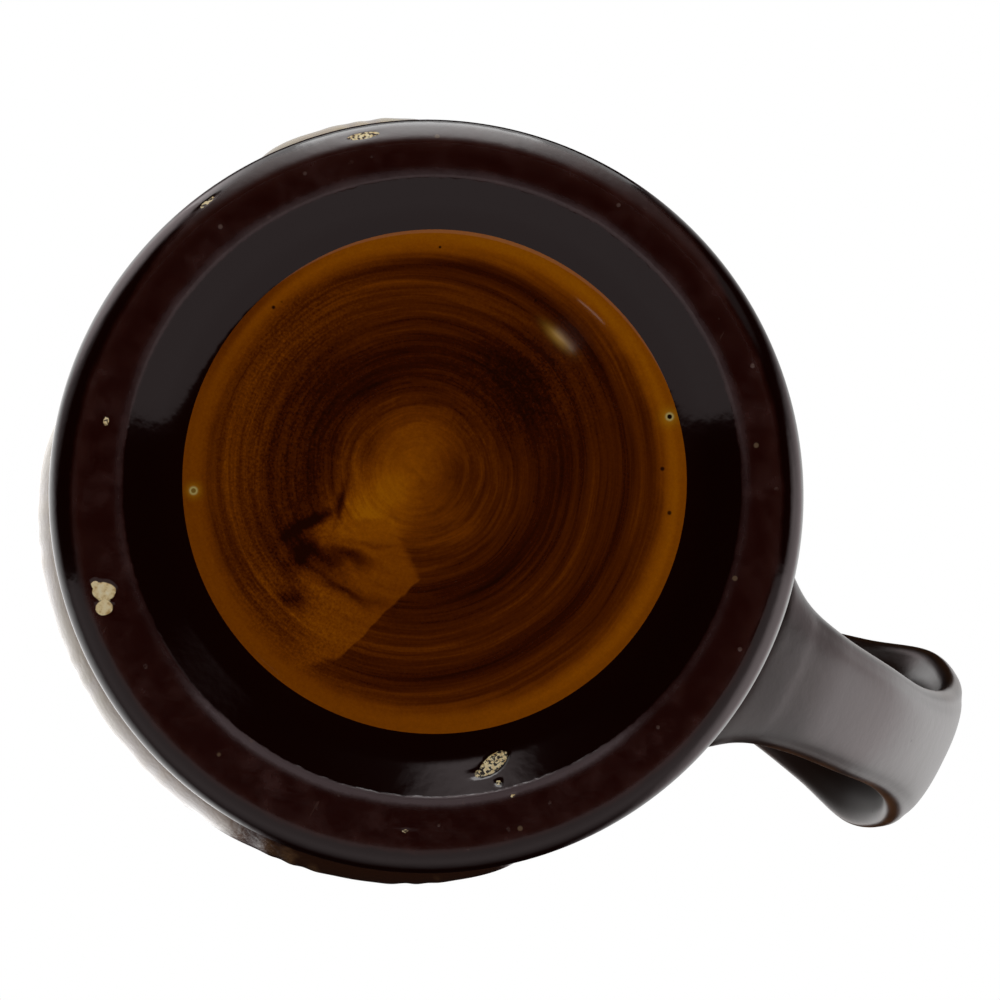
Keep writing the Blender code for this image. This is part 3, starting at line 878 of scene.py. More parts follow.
@dataclass(frozen=True)
class JugForm:
    """Sizes of the turned form and its pulled spout, the same as the solid's."""

    groove_radius: float = 55.2 * MM
    groove_height: float = 9.6 * MM
    foot_radius: float = 57.0 * MM
    foot_widest: float = 4.6 * MM
    ring_outer: float = 53.3 * MM
    ring_inner: float = 47.2 * MM
    ring_ease: float = 0.7 * MM
    disc_radius: float = 38.2 * MM
    disc_height: float = 5.9 * MM
    disc_dome: float = 0.5 * MM
    ring_off_centre: float = 1.5 * MM
    disc_off_centre: float = 2.5 * MM
    belly_radius: float = 60.6 * MM
    belly_height: float = 70.0 * MM
    neck_radius: float = 46.5 * MM
    neck_height: float = 150.0 * MM
    lip_radius: float = 54.5 * MM
    rim_height: float = 186.0 * MM
    wall: float = 5.0 * MM
    lip_wall: float = 4.2 * MM
    floor_height: float = 12.4 * MM
    corner_run: float = 13.0 * MM
    corner_rise: float = 15.0 * MM
    spout_start: float = 142.0 * MM
    spout_pull: float = 12.5 * MM
    spout_raise: float = 4.0 * MM
    spout_half_angle: float = math.radians(24.0)
    pinch_depth: float = 5.0 * MM
    pinch_angle: float = math.radians(50.0)
    pinch_spread: float = math.radians(18.0)
    axis_x: float = -19.4 * MM

    def outer_radius(self, height: Array) -> Array:
        """Radius of the outer skin.

        A quarter sine swells from the groove to the belly, half a cosine draws in to the neck,
        and a quarter cosine flares to the lip.

        Args:
            height: Heights above the table.

        Returns:
            The radius at each.
        """
        swell = (height - self.groove_height) / (self.belly_height - self.groove_height)
        draw = (height - self.belly_height) / (self.neck_height - self.belly_height)
        flare = (height - self.neck_height) / (self.rim_height - self.neck_height)
        low = self.groove_radius + (self.belly_radius - self.groove_radius) * np.sin(
            np.clip(swell, 0.0, 1.0) * math.pi / 2)
        middle = self.neck_radius + (self.belly_radius - self.neck_radius) * (
            1.0 + np.cos(np.clip(draw, 0.0, 1.0) * math.pi)) / 2
        high = self.neck_radius + (self.lip_radius - self.neck_radius) * (
            1.0 - np.cos(np.clip(flare, 0.0, 1.0) * math.pi / 2))
        return np.where(height < self.belly_height, low,
                        np.where(height < self.neck_height, middle, high))

    def inner_radius(self, height: Array) -> Array:
        """Radius of the inside, a wall's thickness in and thinner at the lip."""
        t = np.clip((height - self.neck_height) / (self.rim_height - self.neck_height), 0.0, 1.0)
        return self.outer_radius(height) - self.wall - (self.lip_wall - self.wall) * t

    def pull_spout(self, points: Array) -> Array:
        """Draw the rim out into a lip opposite the handle, and pinch it either side.

        The radius grows by pull x rise^1.5 x bell(angle) and shrinks by the pinch, and the height
        by raise x rise² x bell(angle), with rise an ease from the spout's start to the rim.

        Args:
            points: Points round the axis, any shape with 3 last.

        Returns:
            The moved points.
        """
        x, y, z = points[..., 0], points[..., 1], points[..., 2]
        rise = ease(self.spout_start, self.rim_height, z)
        away = np.arctan2(y, -x)
        radius = np.hypot(x, y)
        lip = bell(away, self.spout_half_angle)
        pinch = bell(np.abs(away) - self.pinch_angle, self.pinch_spread)
        moved = radius + self.spout_pull * rise ** 1.5 * lip - self.pinch_depth * rise * pinch
        scale = moved / np.maximum(radius, MM)
        return np.stack((x * scale, y * scale, z + self.spout_raise * rise ** 2 * lip), axis=-1)

    def on_skin(self, angle: Array, height: Array, lift: Array) -> Array:
        """Points that stand off the outer skin by lift, in the frame.

        Args:
            angle: Angles round the axis.
            height: Heights.
            lift: Distances out of the skin.

        Returns:
            The points, 3 last.
        """
        radius = self.outer_radius(height) + lift
        return np.stack((self.axis_x + radius * np.cos(angle), radius * np.sin(angle),
                         height + 0.0 * angle), axis=-1)

    def at_skin(self, angle: float, height: float, lift: float) -> Array:
        """One point that stands off the outer skin by lift."""
        return self.on_skin(np.asarray(angle), np.asarray(height), np.asarray(lift))


FORM = JugForm()


@dataclass(frozen=True)
class Chip:
    """A chip in the foot's glaze: a few rounded lobes, in millimetres on the underside."""

    lobes: tuple[tuple[float, float, float, float, float], ...]
    depth: float
    speckled: float = 0.0

    def cover(self, across: Array, up: Array) -> Array:
        """How far inside the chip each point lies: 1 in the middle, 0.5 on the edge.

        Args:
            across: Places across the underside, in millimetres.
            up: Places up it.

        Returns:
            The greatest over the lobes of 1 - half the elliptical distance squared.
        """
        best = np.zeros_like(across)
        for x, y, run, wide, turn in self.lobes:
            lean_x, lean_y = math.cos(math.radians(turn)), math.sin(math.radians(turn))
            along = ((across - x) * lean_x + (up - y) * lean_y) / run
            aside = ((up - y) * lean_x - (across - x) * lean_y) / wide
            best = np.maximum(best, 1.0 - 0.5 * (along ** 2 + aside ** 2))
        return best

    def bearing(self) -> float:
        """The chip's angle round the axis, in the frame."""
        x, y = self.lobes[0][:2]
        at = x * ACROSS + y * UP
        return math.atan2(at[1], at[0])


@dataclass
class TurnedBody:
    """The hollow body on its foot, one closed skin from the floor inside to the disc below."""

    form: JugForm = FORM
    columns: int = 250
    foot_bevel: float = 1.4
    disc_slope: float = 0.15
    disc_roll: float = 0.025
    rings_from: tuple[float, float] = (18.0 * MM, 30.0 * MM)
    rings_to: tuple[float, float] = (168.0 * MM, 180.0 * MM)
    ring_depth: float = 0.16 * MM
    finger_depth: float = 0.035 * MM
    ridge_depth: float = 0.0006 * MM
    ridge_turns: float = 46.0
    chips: tuple[Chip, ...] = (
        Chip(((-48.6, -14.3, 1.75, 1.40, 0.0), (-48.6, -16.7, 1.35, 1.15, 15.0),
              (-50.0, -13.2, 0.60, 0.50, 30.0)), 0.35 * MM),
        Chip(((9.9, -40.3, 2.7, 1.15, 38.0), (7.9, -41.7, 0.9, 0.6, 20.0),
              (10.6, -43.1, 0.45, 0.35, 0.0), (12.7, -45.0, 0.4, 0.3, 0.0)), 0.22 * MM, 1.0),
        Chip(((-3.2, -50.3, 0.4, 0.4, 0.0), (-48.3, 11.4, 0.45, 0.8, 10.0)), 0.10 * MM, 1.0),
        Chip(((-9.8, 54.2, 2.6, 0.55, 10.0), (-33.3, 44.1, 1.4, 0.35, 38.0)), 0.15 * MM, 1.0),
    )

    def bearings(self) -> Array:
        """Angles of the columns, evenly spread and closer together across each chip.

        Returns:
            Sorted angles from 0 to a full turn.
        """
        base = np.linspace(0.0, TAU, self.columns, endpoint=False)
        close = [np.linspace(-0.075, 0.075, 20) + chip.bearing() for chip in self.chips[:2]]
        every = np.sort(np.concatenate([base, *close]) % TAU)
        keep = np.diff(every, append=every[0] + TAU) > 0.0035
        return every[keep]

    def profile(self) -> tuple[Array, Array, Array]:
        """The half section, from the middle of the floor inside to the middle of the disc below.

        Floor, elliptical corner, inner wall, half-round rim, outer wall, sine-squared swell of
        the foot, a superellipse of power 1.4 round to the standing ring, much like a bevel, eased
        edge, straight cove that bends over to the disc, and the disc.

        Returns:
            Radii, heights, and each row's zone.
        """
        form = self.form
        rows: list[tuple[Array, Array, Zone]] = []

        def add(radius: Array, height: Array, zone: Zone) -> None:
            """Add rows of one zone."""
            rows.append((radius + 0.0 * height, height + 0.0 * radius, zone))

        corner_top = form.floor_height + form.corner_rise
        corner_in = float(form.inner_radius(np.array(corner_top))) - form.corner_run
        lip_centre = form.rim_height - form.lip_wall / 2
        floor = np.linspace(0.0, corner_in, 15)[1:-1]
        add(floor, np.full_like(floor, form.floor_height), Zone.LINING)
        turn = np.linspace(-math.pi / 2, 0.0, 13)
        add(corner_in + form.corner_run * np.cos(turn),
            corner_top + form.corner_rise * np.sin(turn), Zone.LINING)
        height = np.linspace(corner_top, lip_centre, 60)[1:-1]
        add(form.inner_radius(height), height, Zone.LINING)

        turn = np.linspace(math.pi, 0.0, 15)
        middle = float(form.outer_radius(np.array(lip_centre))) - form.lip_wall / 2
        add(middle + form.lip_wall / 2 * np.cos(turn),
            lip_centre + form.lip_wall / 2 * np.sin(turn), Zone.OUTSIDE)
        height = np.linspace(lip_centre, form.groove_height, 96)[1:]
        add(form.outer_radius(height), height, Zone.OUTSIDE)

        t = np.linspace(0.0, 1.0, 13)[1:-1]
        bulge, drop = form.foot_radius - form.groove_radius, form.groove_height - form.foot_widest
        add(form.groove_radius + bulge * np.sin(t * math.pi / 2) ** 2,
            form.groove_height - drop * t, Zone.FOOT)
        turn = np.linspace(0.0, math.pi / 2, 26)
        add(form.ring_outer + (form.foot_radius - form.ring_outer)
            * np.cos(turn) ** (2.0 / self.foot_bevel),
            form.foot_widest * (1.0 - np.sin(turn) ** (2.0 / self.foot_bevel)), Zone.FOOT)
        flat = np.linspace(form.ring_outer, form.ring_inner, 24)[1:]
        add(flat, np.zeros_like(flat), Zone.FOOT)
        turn = np.linspace(0.0, math.radians(43.0), 8)[1:]
        add(form.ring_inner - form.ring_ease * np.sin(turn),
            form.ring_ease * (1.0 - np.cos(turn)), Zone.FOOT)

        # Cove: a straight slope, which falls evenly to the slope at the disc from half way in
        eased_in = form.ring_ease * math.sin(turn[-1])
        eased_up = form.ring_ease * (1.0 - math.cos(turn[-1]))
        run = form.ring_inner - eased_in - form.disc_radius
        rise = form.disc_height - eased_up
        last, straight = self.disc_slope, 0.5
        first = (rise / run - (1.0 - straight) * last / 2) / ((1.0 + straight) / 2)
        s = np.linspace(0.0, 1.0, 34)[1:]
        bent = np.clip(s - straight, 0.0, 1.0)
        add(form.ring_inner - eased_in - run * s,
            eased_up + run * (first * s - (first - last) * bent ** 2 / 2 / (1.0 - straight)),
            Zone.FOOT)

        # Disc: its edge rolls level, as 1 - exp(-s / roll), and it domes to the middle
        s = np.concatenate((np.linspace(0.0, 0.06, 7)[1:], np.linspace(0.06, 1.0, 34)[1:-1]))
        rolled = last * form.disc_radius * self.disc_roll
        add(form.disc_radius * (1.0 - s),
            form.disc_height + rolled * (1.0 - np.exp(-s / self.disc_roll))
            + (form.disc_dome - rolled) * (1.0 - (1.0 - s) ** 2), Zone.DISC)
        radius = np.concatenate([r for r, _, _ in rows])
        heights = np.concatenate([z for _, z, _ in rows])
        zones = np.concatenate([np.full(len(r), zone.value) for r, _, zone in rows])
        return radius, heights, zones

    def uneven(self, radius: Array, height: Array, zones: Array, turn: Array) -> Array:
        """The turned grid with the unevenness of handwork.

        The radius takes throwing rings, sin(height / 7 mm + turn), inside and faint ones outside,
        and a slow wobble at the foot; the underside shifts off centre; the disc takes its ring.

        Args:
            radius: Radii of the rows.
            height: Heights of the rows.
            zones: Zones of the rows.
            turn: Angles of the columns.

        Returns:
            Points, rows by columns by 3, round the axis.
        """
        form = self.form
        r = radius[:, None] + 0.0 * turn[None, :]
        z = height[:, None] + 0.0 * turn[None, :]
        a = turn[None, :] + 0.0 * r
        zone = zones[:, None]

        wall = ease(*self.rings_from, z) * (1.0 - ease(*self.rings_to, z))
        ringed = np.sin(TAU * z / THROWING_PITCH + a) + 0.4 * np.sin(TAU * z / (4.1 * MM) - a + 1.0)
        r = r + np.where(zone == Zone.LINING.value, self.ring_depth * ringed * wall, 0.0)
        outside = (zone == Zone.OUTSIDE.value) * wall
        fade = 0.35 + 0.65 * np.sin(z / (23.0 * MM) + 0.8 * np.sin(a)) ** 2
        r = r - outside * self.finger_depth * fade * (1.0 + np.sin(TAU * z / (5.3 * MM)
                                                            + 1.7 * np.sin(z / (9.0 * MM)) + a))

        foot = 1.0 - ease(9.0 * MM, 15.0 * MM, z)
        rim_of_foot = foot * ease(50.0 * MM, 56.0 * MM, r) * (zone != Zone.LINING.value)
        r = r + rim_of_foot * MM * 0.12 * wobble(a, 2.0)

        under = (zone == Zone.FOOT.value) & (radius[:, None] < form.ring_outer) | (
            zone == Zone.DISC.value)
        inward = np.clip((form.ring_inner - r) / (form.ring_inner - form.disc_radius), 0.0, 1.0)
        shift = form.ring_off_centre * np.clip(
            (form.ring_outer - r) / (form.ring_outer - form.ring_inner), 0.0, 1.0)
        shift = shift + (form.disc_off_centre - form.ring_off_centre) * inward
        edge_wave = 0.10 * MM * wobble(a, 5.0) * bell(r - form.ring_inner, 2.0 * MM)
        x = (r + np.where(under, edge_wave, 0.0)) * np.cos(a)
        y = (r + np.where(under, edge_wave, 0.0)) * np.sin(a) - np.where(under, shift, 0.0)

        # Ring and ridges that the brush and the wheel left on the disc
        across = (x * ACROSS[0] + (y + form.disc_off_centre) * ACROSS[1]) / form.disc_radius
        up = (x * UP[0] + (y + form.disc_off_centre) * UP[1]) / form.disc_radius
        ring = np.hypot(across - RINGS_ACROSS, up - RINGS_UP) / RINGS_SIZE
        ridge = self.ridge_depth * np.sin(ring * self.ridge_turns)
        z = z + np.where(zone == Zone.DISC.value, ridge, 0.0)
        return np.stack((x, y, z), axis=-1)

    def build(self) -> Shell:
        """The whole skin, with its spout pulled and its chips sunk.

        Returns:
            A closed shell with marks "thin", "bared" and "speckled".
        """
        form = self.form
        radius, height, zones = self.profile()
        turn = self.bearings()
        grid = form.pull_spout(self.uneven(radius, height, zones, turn))

        across = (grid[..., 0] * ACROSS[0] + grid[..., 1] * ACROSS[1]) / MM
        up = (grid[..., 0] * UP[0] + grid[..., 1] * UP[1]) / MM
        below = zones[:, None] == Zone.FOOT.value
        bared = np.zeros(grid.shape[:2])
        speckled = np.zeros(grid.shape[:2])
        for chip in self.chips:
            cover = np.where(below, chip.cover(across, up), 0.0)
            grid[..., 2] += chip.depth * ease(0.42, 0.62, cover)
            speckled = np.where(cover > bared, chip.speckled, speckled)
            bared = np.maximum(bared, cover)

        # The glaze is thin on the lip and over the belly's crown, and thick low down
        z = height[:, None] + 0.0 * turn[None, :]
        thin = 0.62 * bell(z - form.rim_height, 2.6 * MM) + 0.16 * bell(z - 80.0 * MM, 34.0 * MM)
        lining = zones[:, None] == Zone.LINING.value
        rings = 0.5 + 0.5 * np.sin(TAU * z / THROWING_PITCH + turn[None, :] + math.pi)
        thin = np.where(lining, 0.35 + 0.4 * rings, thin + 0.08)
        grid[..., 0] += form.axis_x

        top = np.array(((form.axis_x, 0.0, form.floor_height),))
        bottom = np.array(((form.axis_x, -form.disc_off_centre,
                            form.disc_height + form.disc_dome),))
        shell = capped_rows(grid, top, bottom,
                            {"thin": thin, "bared": bared, "speckled": speckled})
        # A face takes the zone of the row nearer the underside
        shell.quad_slots = np.repeat(zones[1:], len(turn))
        shell.triangle_slots = np.repeat([Zone.LINING.value, Zone.DISC.value], len(turn))
        return shell


# ---------------------------------------------------------------------------------------------
# The strap handle


@dataclass
class StrapHandle:
    """The pulled strap handle, from its low root on the belly to its root in the neck."""

    form: JugForm = FORM
    rows: int = 210
    columns: int = 72
    dish: float = 0.45
    roll: float = 0.8
    low_root: tuple[float, float] = (0.06, 0.16)
    high_root: tuple[float, float] = (0.90, 0.97)
    fullness: float = 0.992
    pull_depth: float = 0.006
    grooves: tuple[tuple[float, float, float], ...] = ((0.030, 0.82, 0.06), (-0.015, 0.92, 0.05))
    stations: tuple[tuple[float, float, float, float], ...] = (
        (56.4, 50.5, 17.5, 9.5), (63.0, 53.5, 12.8, 6.6), (71.5, 60.5, 10.7, 5.0),
        (82.5, 75.5, 9.9, 4.4), (92.0, 95.0, 9.6, 4.3), (98.8, 115.0, 11.6, 4.3),
        (100.6, 133.0, 15.2, 4.4), (97.0, 150.0, 17.4, 4.4), (87.0, 162.0, 14.4, 4.4),
        (73.0, 166.5, 11.6, 4.4), (57.0, 164.5, 11.0, 5.0), (44.6, 160.0, 12.6, 6.4))

    def along(self, t: Array) -> Array:
        """Distance out, height, half width and half thickness on a Catmull-Rom curve.

        Args:
            t: Places from 0 at the low root to 1 at the high root.

        Returns:
            One row of four sizes for each place, in metres.
        """
        stations = np.array(self.stations) * MM
        padded = np.vstack((2 * stations[0] - stations[1], stations,
                            2 * stations[-1] - stations[-2]))
        run = t * (len(stations) - 1)
        i = np.minimum(run.astype(int), len(stations) - 2)
        f = (run - i)[:, None]
        a, b, c, d = padded[i], padded[i + 1], padded[i + 2], padded[i + 3]
        return 0.5 * (2 * b + (c - a) * f + (2 * a - 5 * b + 4 * c - d) * f ** 2
                      + (3 * b - a - 3 * c + d) * f ** 3)

    def build(self) -> Shell:
        """Loft the section along the curve.

        The section is a rounded strap: width x sign(cos) |cos|^roll across and thickness x sin
        outwards, its inner side flattened by the dish; shallow grooves inside its two edges
        fade towards the roots.

        Returns:
            A closed shell with the mark "thin" and a mark for the painted shade on one inner side.
        """
        t = np.linspace(0.0, 1.0, self.rows)
        x, z, half_width, half_thick = self.along(t).T
        tangent = np.stack((np.gradient(x), np.gradient(z)), axis=1)
        tangent /= np.linalg.norm(tangent, axis=1, keepdims=True)
        outward = np.stack((tangent[:, 1], -tangent[:, 0]), axis=1)
        for end, upright in ((bell(t, 0.02), -1.0), (bell(1.0 - t, 0.02), 1.0)):
            outward = outward * (1.0 - end[:, None]) + np.array((0.0, upright)) * end[:, None]
        outward /= np.linalg.norm(outward, axis=1, keepdims=True)

        turn = np.linspace(0.0, TAU, self.columns, endpoint=False)[None, :]
        across = np.sign(np.cos(turn)) * np.abs(np.cos(turn)) ** self.roll
        out = np.sin(turn)
        out = np.where(out < 0.0, out * (1.0 - self.dish * (1.0 - across ** 2)), out)
        body = (ease(*self.low_root, t) * (1.0 - ease(*self.high_root, t)))[:, None]
        edge = np.abs(across)
        groove = sum(depth * bell(edge - place, width) for depth, place, width in self.grooves)
        out = out - np.where(out > 0.0, groove * body, groove * body * -0.6)
        pull = (self.fullness
                - self.pull_depth * np.sin(t * 17.0)[:, None] ** 2 * np.cos(across * 2.0))
        offset = half_thick[:, None] * out * pull
        grid = np.stack((x[:, None] + offset * outward[:, :1],
                         half_width[:, None] * across,
                         z[:, None] + offset * outward[:, 1:]), axis=-1)
        grid[..., 0] += self.form.axis_x
        thin = 0.10 + 0.42 * edge ** 9 * body + 0.10 * (1.0 - np.abs(out)) * body + 0.0 * offset
        first = np.array(((x[0] + self.form.axis_x, 0.0, z[0]),))
        last = np.array(((x[-1] + self.form.axis_x, 0.0, z[-1]),))
        # Painted shade: a dark, dull coat on the inner side towards one edge, standing in for shade
        # and a dark reflection there
        dull_painted_shade = 0.95 * np.clip(-2.0 * out, 0.0, 1.0) * ease(-0.3, 0.5, across) * body
        return capped_rows(grid, first, last, {"thin": thin, "dull_painted_shade": dull_painted_shade})


# ---------------------------------------------------------------------------------------------
# The raised boughs


@dataclass(frozen=True)
class LeafPlace:
    """Where a leaf lies on the skin: angle, height, the way its tip points, and its reach."""

    angle: float
    height: float
    heading: float
    size: float


@dataclass
class Bough:
    """A vine raised on one side of the belly: a branch, its shoots, leaves, berries, tendrils."""

    start: float
    end: float
    height: float
    wave: float
    waves: float
    radius: float
    shoots: int
    rise: float
    leaf_size: float
    fruited: int = 3
    form: JugForm = FORM
    relief: float = 2.5 * MM
    root: float = 1.4 * MM
    shoot_radius: float = 1.5 * MM
    berry_radius: float = 3.3 * MM
    leaf_rings: int = 20
    leaf_turns: int = 90
    tooth_depth: float = 0.030
    teeth_round: float = 25.0
    vein_width: float = 0.42 * MM
    side_vein_pitch: float = 2.5 * MM
    shoot_leaves: tuple = ((0.42, 1.0, 0.92), (0.70, -1.0, 0.86), (1.0, 0.25, 1.0))
    bunch_berries: tuple = ((-0.9, 0.0), (0.9, 0.0), (0.0, 1.5))

    @property
    def run(self) -> float:
        """1 where the branch runs with the angle, -1 where it runs against it."""
        return 1.0 if self.end > self.start else -1.0

    def branch(self, t: Array) -> tuple[Array, Array]:
        """Angle and height along the branch: linear in angle, with a sine wave in height."""
        t = np.asarray(t, float)
        angle = np.radians(self.start + (self.end - self.start) * t)
        return angle, self.height + self.wave * np.sin(TAU * self.waves * t)

    def shoot(self, i: int, s: Array) -> tuple[Array, Array]:
        """Angle and height along shoot i, which leans as sin(s 90°) and bends as sin(s 270°)."""
        s = np.asarray(s, float)
        angle, height = self.branch((i + 0.5) / self.shoots)
        lean = 0.30 * np.sin(s * math.pi / 2) + 0.10 * np.sin(s * math.pi * 1.5)
        return (angle + self.run * self.rise * lean / self.form.belly_radius,
                height + self.rise * s)

    def leaves(self) -> list[LeafPlace]:
        """Every leaf's place, moved out along its heading so that its foot meets the stem.

        Returns:
            Three leaves on each shoot and one under the branch beside it.
        """
        found = []
        for i in range(self.shoots):
            for s, side, share in self.shoot_leaves:
                heading = math.pi / 2 - side * self.run * math.radians(68.0)
                found.append((*self.shoot(i, s), heading, share * self.leaf_size))
            heading = -math.pi / 2 + self.run * math.radians(25.0)
            found.append((*self.branch((i + 0.42) / self.shoots), heading,
                          0.88 * self.leaf_size))
        placed = []
        for angle, height, heading, size in found:
            reach = 0.42 * size + self.shoot_radius / 2
            placed.append(LeafPlace(float(angle) + reach * math.cos(heading)
                                    / self.form.belly_radius,
                                    float(height) + reach * math.sin(heading), heading, size))
        return placed

    @staticmethod
    def leaf_reach(turn: Array) -> Array:
        """Edge of a leaf of size 1: five rounded lobes, drawn in towards the stalk.

        The reach is 0.54 + 0.46 (1 - |sin 2.5 turn|^1.5), times 0.9 + 0.1 cos turn.
        """
        lobes = 1.0 - np.abs(np.sin(turn * 2.5)) ** 1.5
        return (0.54 + 0.46 * lobes) * (0.9 + 0.1 * np.cos(turn))

    def leaf(self, place: LeafPlace, number: int) -> Shell:
        """One leaf: a polar grid with veins pressed in and the blade swelling between them.

        The height is the relief x (0.62 + 0.38 (1 - s²)), s from the middle to the edge, less
        a groove along each vein from the foot to a lobe's tip, and fine side veins that slant off
        it; the edge rolls over and runs down into the wall.

        Args:
            place: Where the leaf lies.
            number: Its number, which varies its waves.

        Returns:
            A closed shell with the mark "thin".
        """
        size = place.size
        turn = np.linspace(0.0, TAU, self.leaf_turns, endpoint=False)[None, :]
        teeth = 1.0 + self.tooth_depth * np.sin(turn * self.teeth_round + number) * (
            0.5 + 0.5 * np.cos(turn * 2.5) ** 2)
        s = np.linspace(0.0, 1.0, self.leaf_rings + 1)[1:, None]
        reach = s * self.leaf_reach(turn) * teeth * size
        a, b = reach * np.cos(turn), reach * np.sin(turn)

        foot = -0.40 * size
        vein = np.zeros_like(a)
        side = np.zeros_like(a)
        nearest = np.full_like(a, 1e9)
        for k in range(-2, 3):
            tip_turn = k * TAU / 5
            tip_reach = 0.93 * float(self.leaf_reach(np.array(tip_turn))) * size
            tip = np.array((tip_reach * math.cos(tip_turn) - foot, tip_reach * math.sin(tip_turn)))
            span = float(np.linalg.norm(tip))
            tip /= span
            along = np.clip((a - foot) * tip[0] + b * tip[1], 0.0, span)
            off = np.hypot(a - foot - along * tip[0], b - along * tip[1])
            strength = 1.0 - 0.55 * along / span
            vein = np.maximum(vein, strength * bell(off, self.vein_width))
            slant = np.cos(TAU * (along - 0.85 * off) / self.side_vein_pitch)
            here = off < nearest
            side = np.where(here, slant, side)
            nearest = np.where(here, off, nearest)
        side = side * ease(0.25 * MM, 0.9 * MM, nearest) * (1.0 - ease(0.80, 0.98, s))

        crown = 0.62 + 0.38 * (1.0 - s ** 2)
        waves = 0.05 * np.sin(turn * 3.0 + number * 1.3) * s ** 2
        rolled = 0.42 * ease(0.88, 1.0, s)
        lift = self.relief * (crown + waves - rolled - 0.20 * vein + 0.035 * side)
        thin = 0.62 - 0.75 * vein + 0.12 * side - 0.55 * ease(0.90, 1.0, s) + 0.10 * crown

        skirt = np.array((0.15 * MM, -0.5 * self.root, -self.root))[:, None] + 0.0 * turn
        spread = np.array((1.02, 1.03, 1.03))[:, None]
        edge = self.leaf_reach(turn) * teeth * size
        a = np.vstack((a, spread * edge * np.cos(turn)))
        b = np.vstack((b, spread * edge * np.sin(turn)))
        lift = np.vstack((lift, skirt))
        thin = np.vstack((thin, np.zeros_like(skirt)))

        turned_a = a * math.cos(place.heading) - b * math.sin(place.heading)
        turned_b = a * math.sin(place.heading) + b * math.cos(place.heading)
        grid = self.form.on_skin(place.angle + turned_a / self.form.belly_radius,
                                 place.height + turned_b, lift)
        middle, under = (self.form.at_skin(place.angle, place.height, lift)
                         for lift in (self.relief, -self.root))
        return capped_rows(grid, middle, under, {"thin": thin})

    def tube(self, angle: Array, height: Array, lift: Array, radius: Array,
             columns: int = 20, knots: float = 0.06) -> Shell:
        """A stem carried along the skin, its ends rounded off.

        Each ring is radius (cos turn x out of the skin + sin turn x sideways), the radius waved
        along the stem and fluted round it.

        Args:
            angle: Angles of the centre line.
            height: Heights of the centre line.
            lift: How far the centre line stands out of the skin.
            radius: Radius at each place.
            columns: Points round the stem.
            knots: Strength of the waves, as a share of the radius.

        Returns:
            A closed shell with the mark "thin".
        """
        centre = self.form.on_skin(angle, height, lift)
        tangent = np.gradient(centre, axis=0)
        tangent /= np.linalg.norm(tangent, axis=1, keepdims=True)
        out = np.stack((np.cos(angle), np.sin(angle), 0.0 * angle), axis=1)
        sideways = np.cross(tangent, out)
        sideways /= np.linalg.norm(sideways, axis=1, keepdims=True)
        out = np.cross(sideways, tangent)
        turn = np.linspace(0.0, TAU, columns, endpoint=False)[None, :]
        place = np.linspace(0.0, 1.0, len(angle))[:, None]
        bark = 1.0 + knots * (np.sin(place * 61.0) * 0.6 + np.sin(turn * 5.0 + place * 23.0) * 0.5)
        size = radius[:, None] * bark
        grid = (centre[:, None] + size[..., None] * (np.cos(turn)[..., None] * out[:, None]
                                                     + np.sin(turn)[..., None] * sideways[:, None]))
        thin = 0.30 + 0.42 * np.cos(turn) + 2.5 * (bark - 1.0)
        return capped_rows(grid, centre[:1], centre[-1:], {"thin": thin})

    def stems(self) -> Shell:
        """The branch, its shoots, a stalk to every low leaf, and a tendril after each shoot.

        Returns:
            One shell of all of them.
        """
        t = np.linspace(0.0, 1.0, 150)
        ends = np.sqrt(np.clip(np.minimum(t, 1.0 - t) / 0.012, 0.0, 1.0))
        angle, height = self.branch(t)
        taper = self.radius * (1.0 - 0.22 * t) * np.maximum(ends, 0.05)
        parts = [self.tube(angle, height, self.relief - self.radius + 0.0 * t, taper)]
        for i in range(self.shoots):
            s = np.linspace(0.0, 1.0, 44)
            angle, height = self.shoot(i, s)
            close = np.sqrt(np.clip((1.0 - s) / 0.03, 0.0, 1.0))
            size = self.shoot_radius * (1.0 - 0.35 * s) * np.maximum(close, 0.05)
            parts.append(self.tube(angle, height, 0.25 * MM + 0.0 * s, size, 14, 0.05))
            parts.append(self.tendril(i))
        return joined(parts)

    def tendril(self, i: int) -> Shell:
        """A curl that springs from the branch and winds into itself as it climbs.

        The line runs up and forward, and its direction turns by 1.6 turns, faster towards the tip.

        Args:
            i: The shoot's number.

        Returns:
            A closed shell with the mark "thin".
        """
        s = np.linspace(0.0, 1.0, 70)
        angle, height = self.branch(np.array((i + 0.80) / self.shoots))
        heading = math.pi / 2 - self.run * 0.5 + self.run * 1.6 * TAU * s ** 2.2
        step = 17.0 * MM / len(s) * (1.0 - 0.45 * s)
        forward = np.cumsum(np.cos(heading) * step)
        upward = np.cumsum(np.sin(heading) * step)
        size = 0.75 * MM * (1.0 - 0.45 * s) * np.sqrt(np.clip((1.02 - s) / 0.05, 0.05, 1.0))
        return self.tube(angle + forward / self.form.belly_radius, height + upward,
                         0.15 * MM + 0.0 * s, size, 10, 0.0)

    def berries(self) -> Shell:
        """Bunches of three balls hung under the branch, each with a dimple at its end.

        Returns:
            One shell of them all.
        """
        parts = []
        polar = np.linspace(0.0, math.pi, 16)[1:-1, None]
        turn = np.linspace(0.0, TAU, 26, endpoint=False)[None, :]
        for i in range(self.fruited):
            angle, height = self.branch((i + 0.92) / self.shoots)
            for across, drop in self.bunch_berries:
                at = float(angle) + across * self.berry_radius / self.form.belly_radius
                up = float(height) - self.radius - self.berry_radius * (1.0 + drop)
                out = np.array((math.cos(at), math.sin(at), 0.0))
                beside = np.array((-math.sin(at), math.cos(at), 0.0))
                size = self.berry_radius * (1.0 - 0.10 * bell(polar, 0.30))
                middle = self.form.at_skin(at, up, self.relief - self.berry_radius)
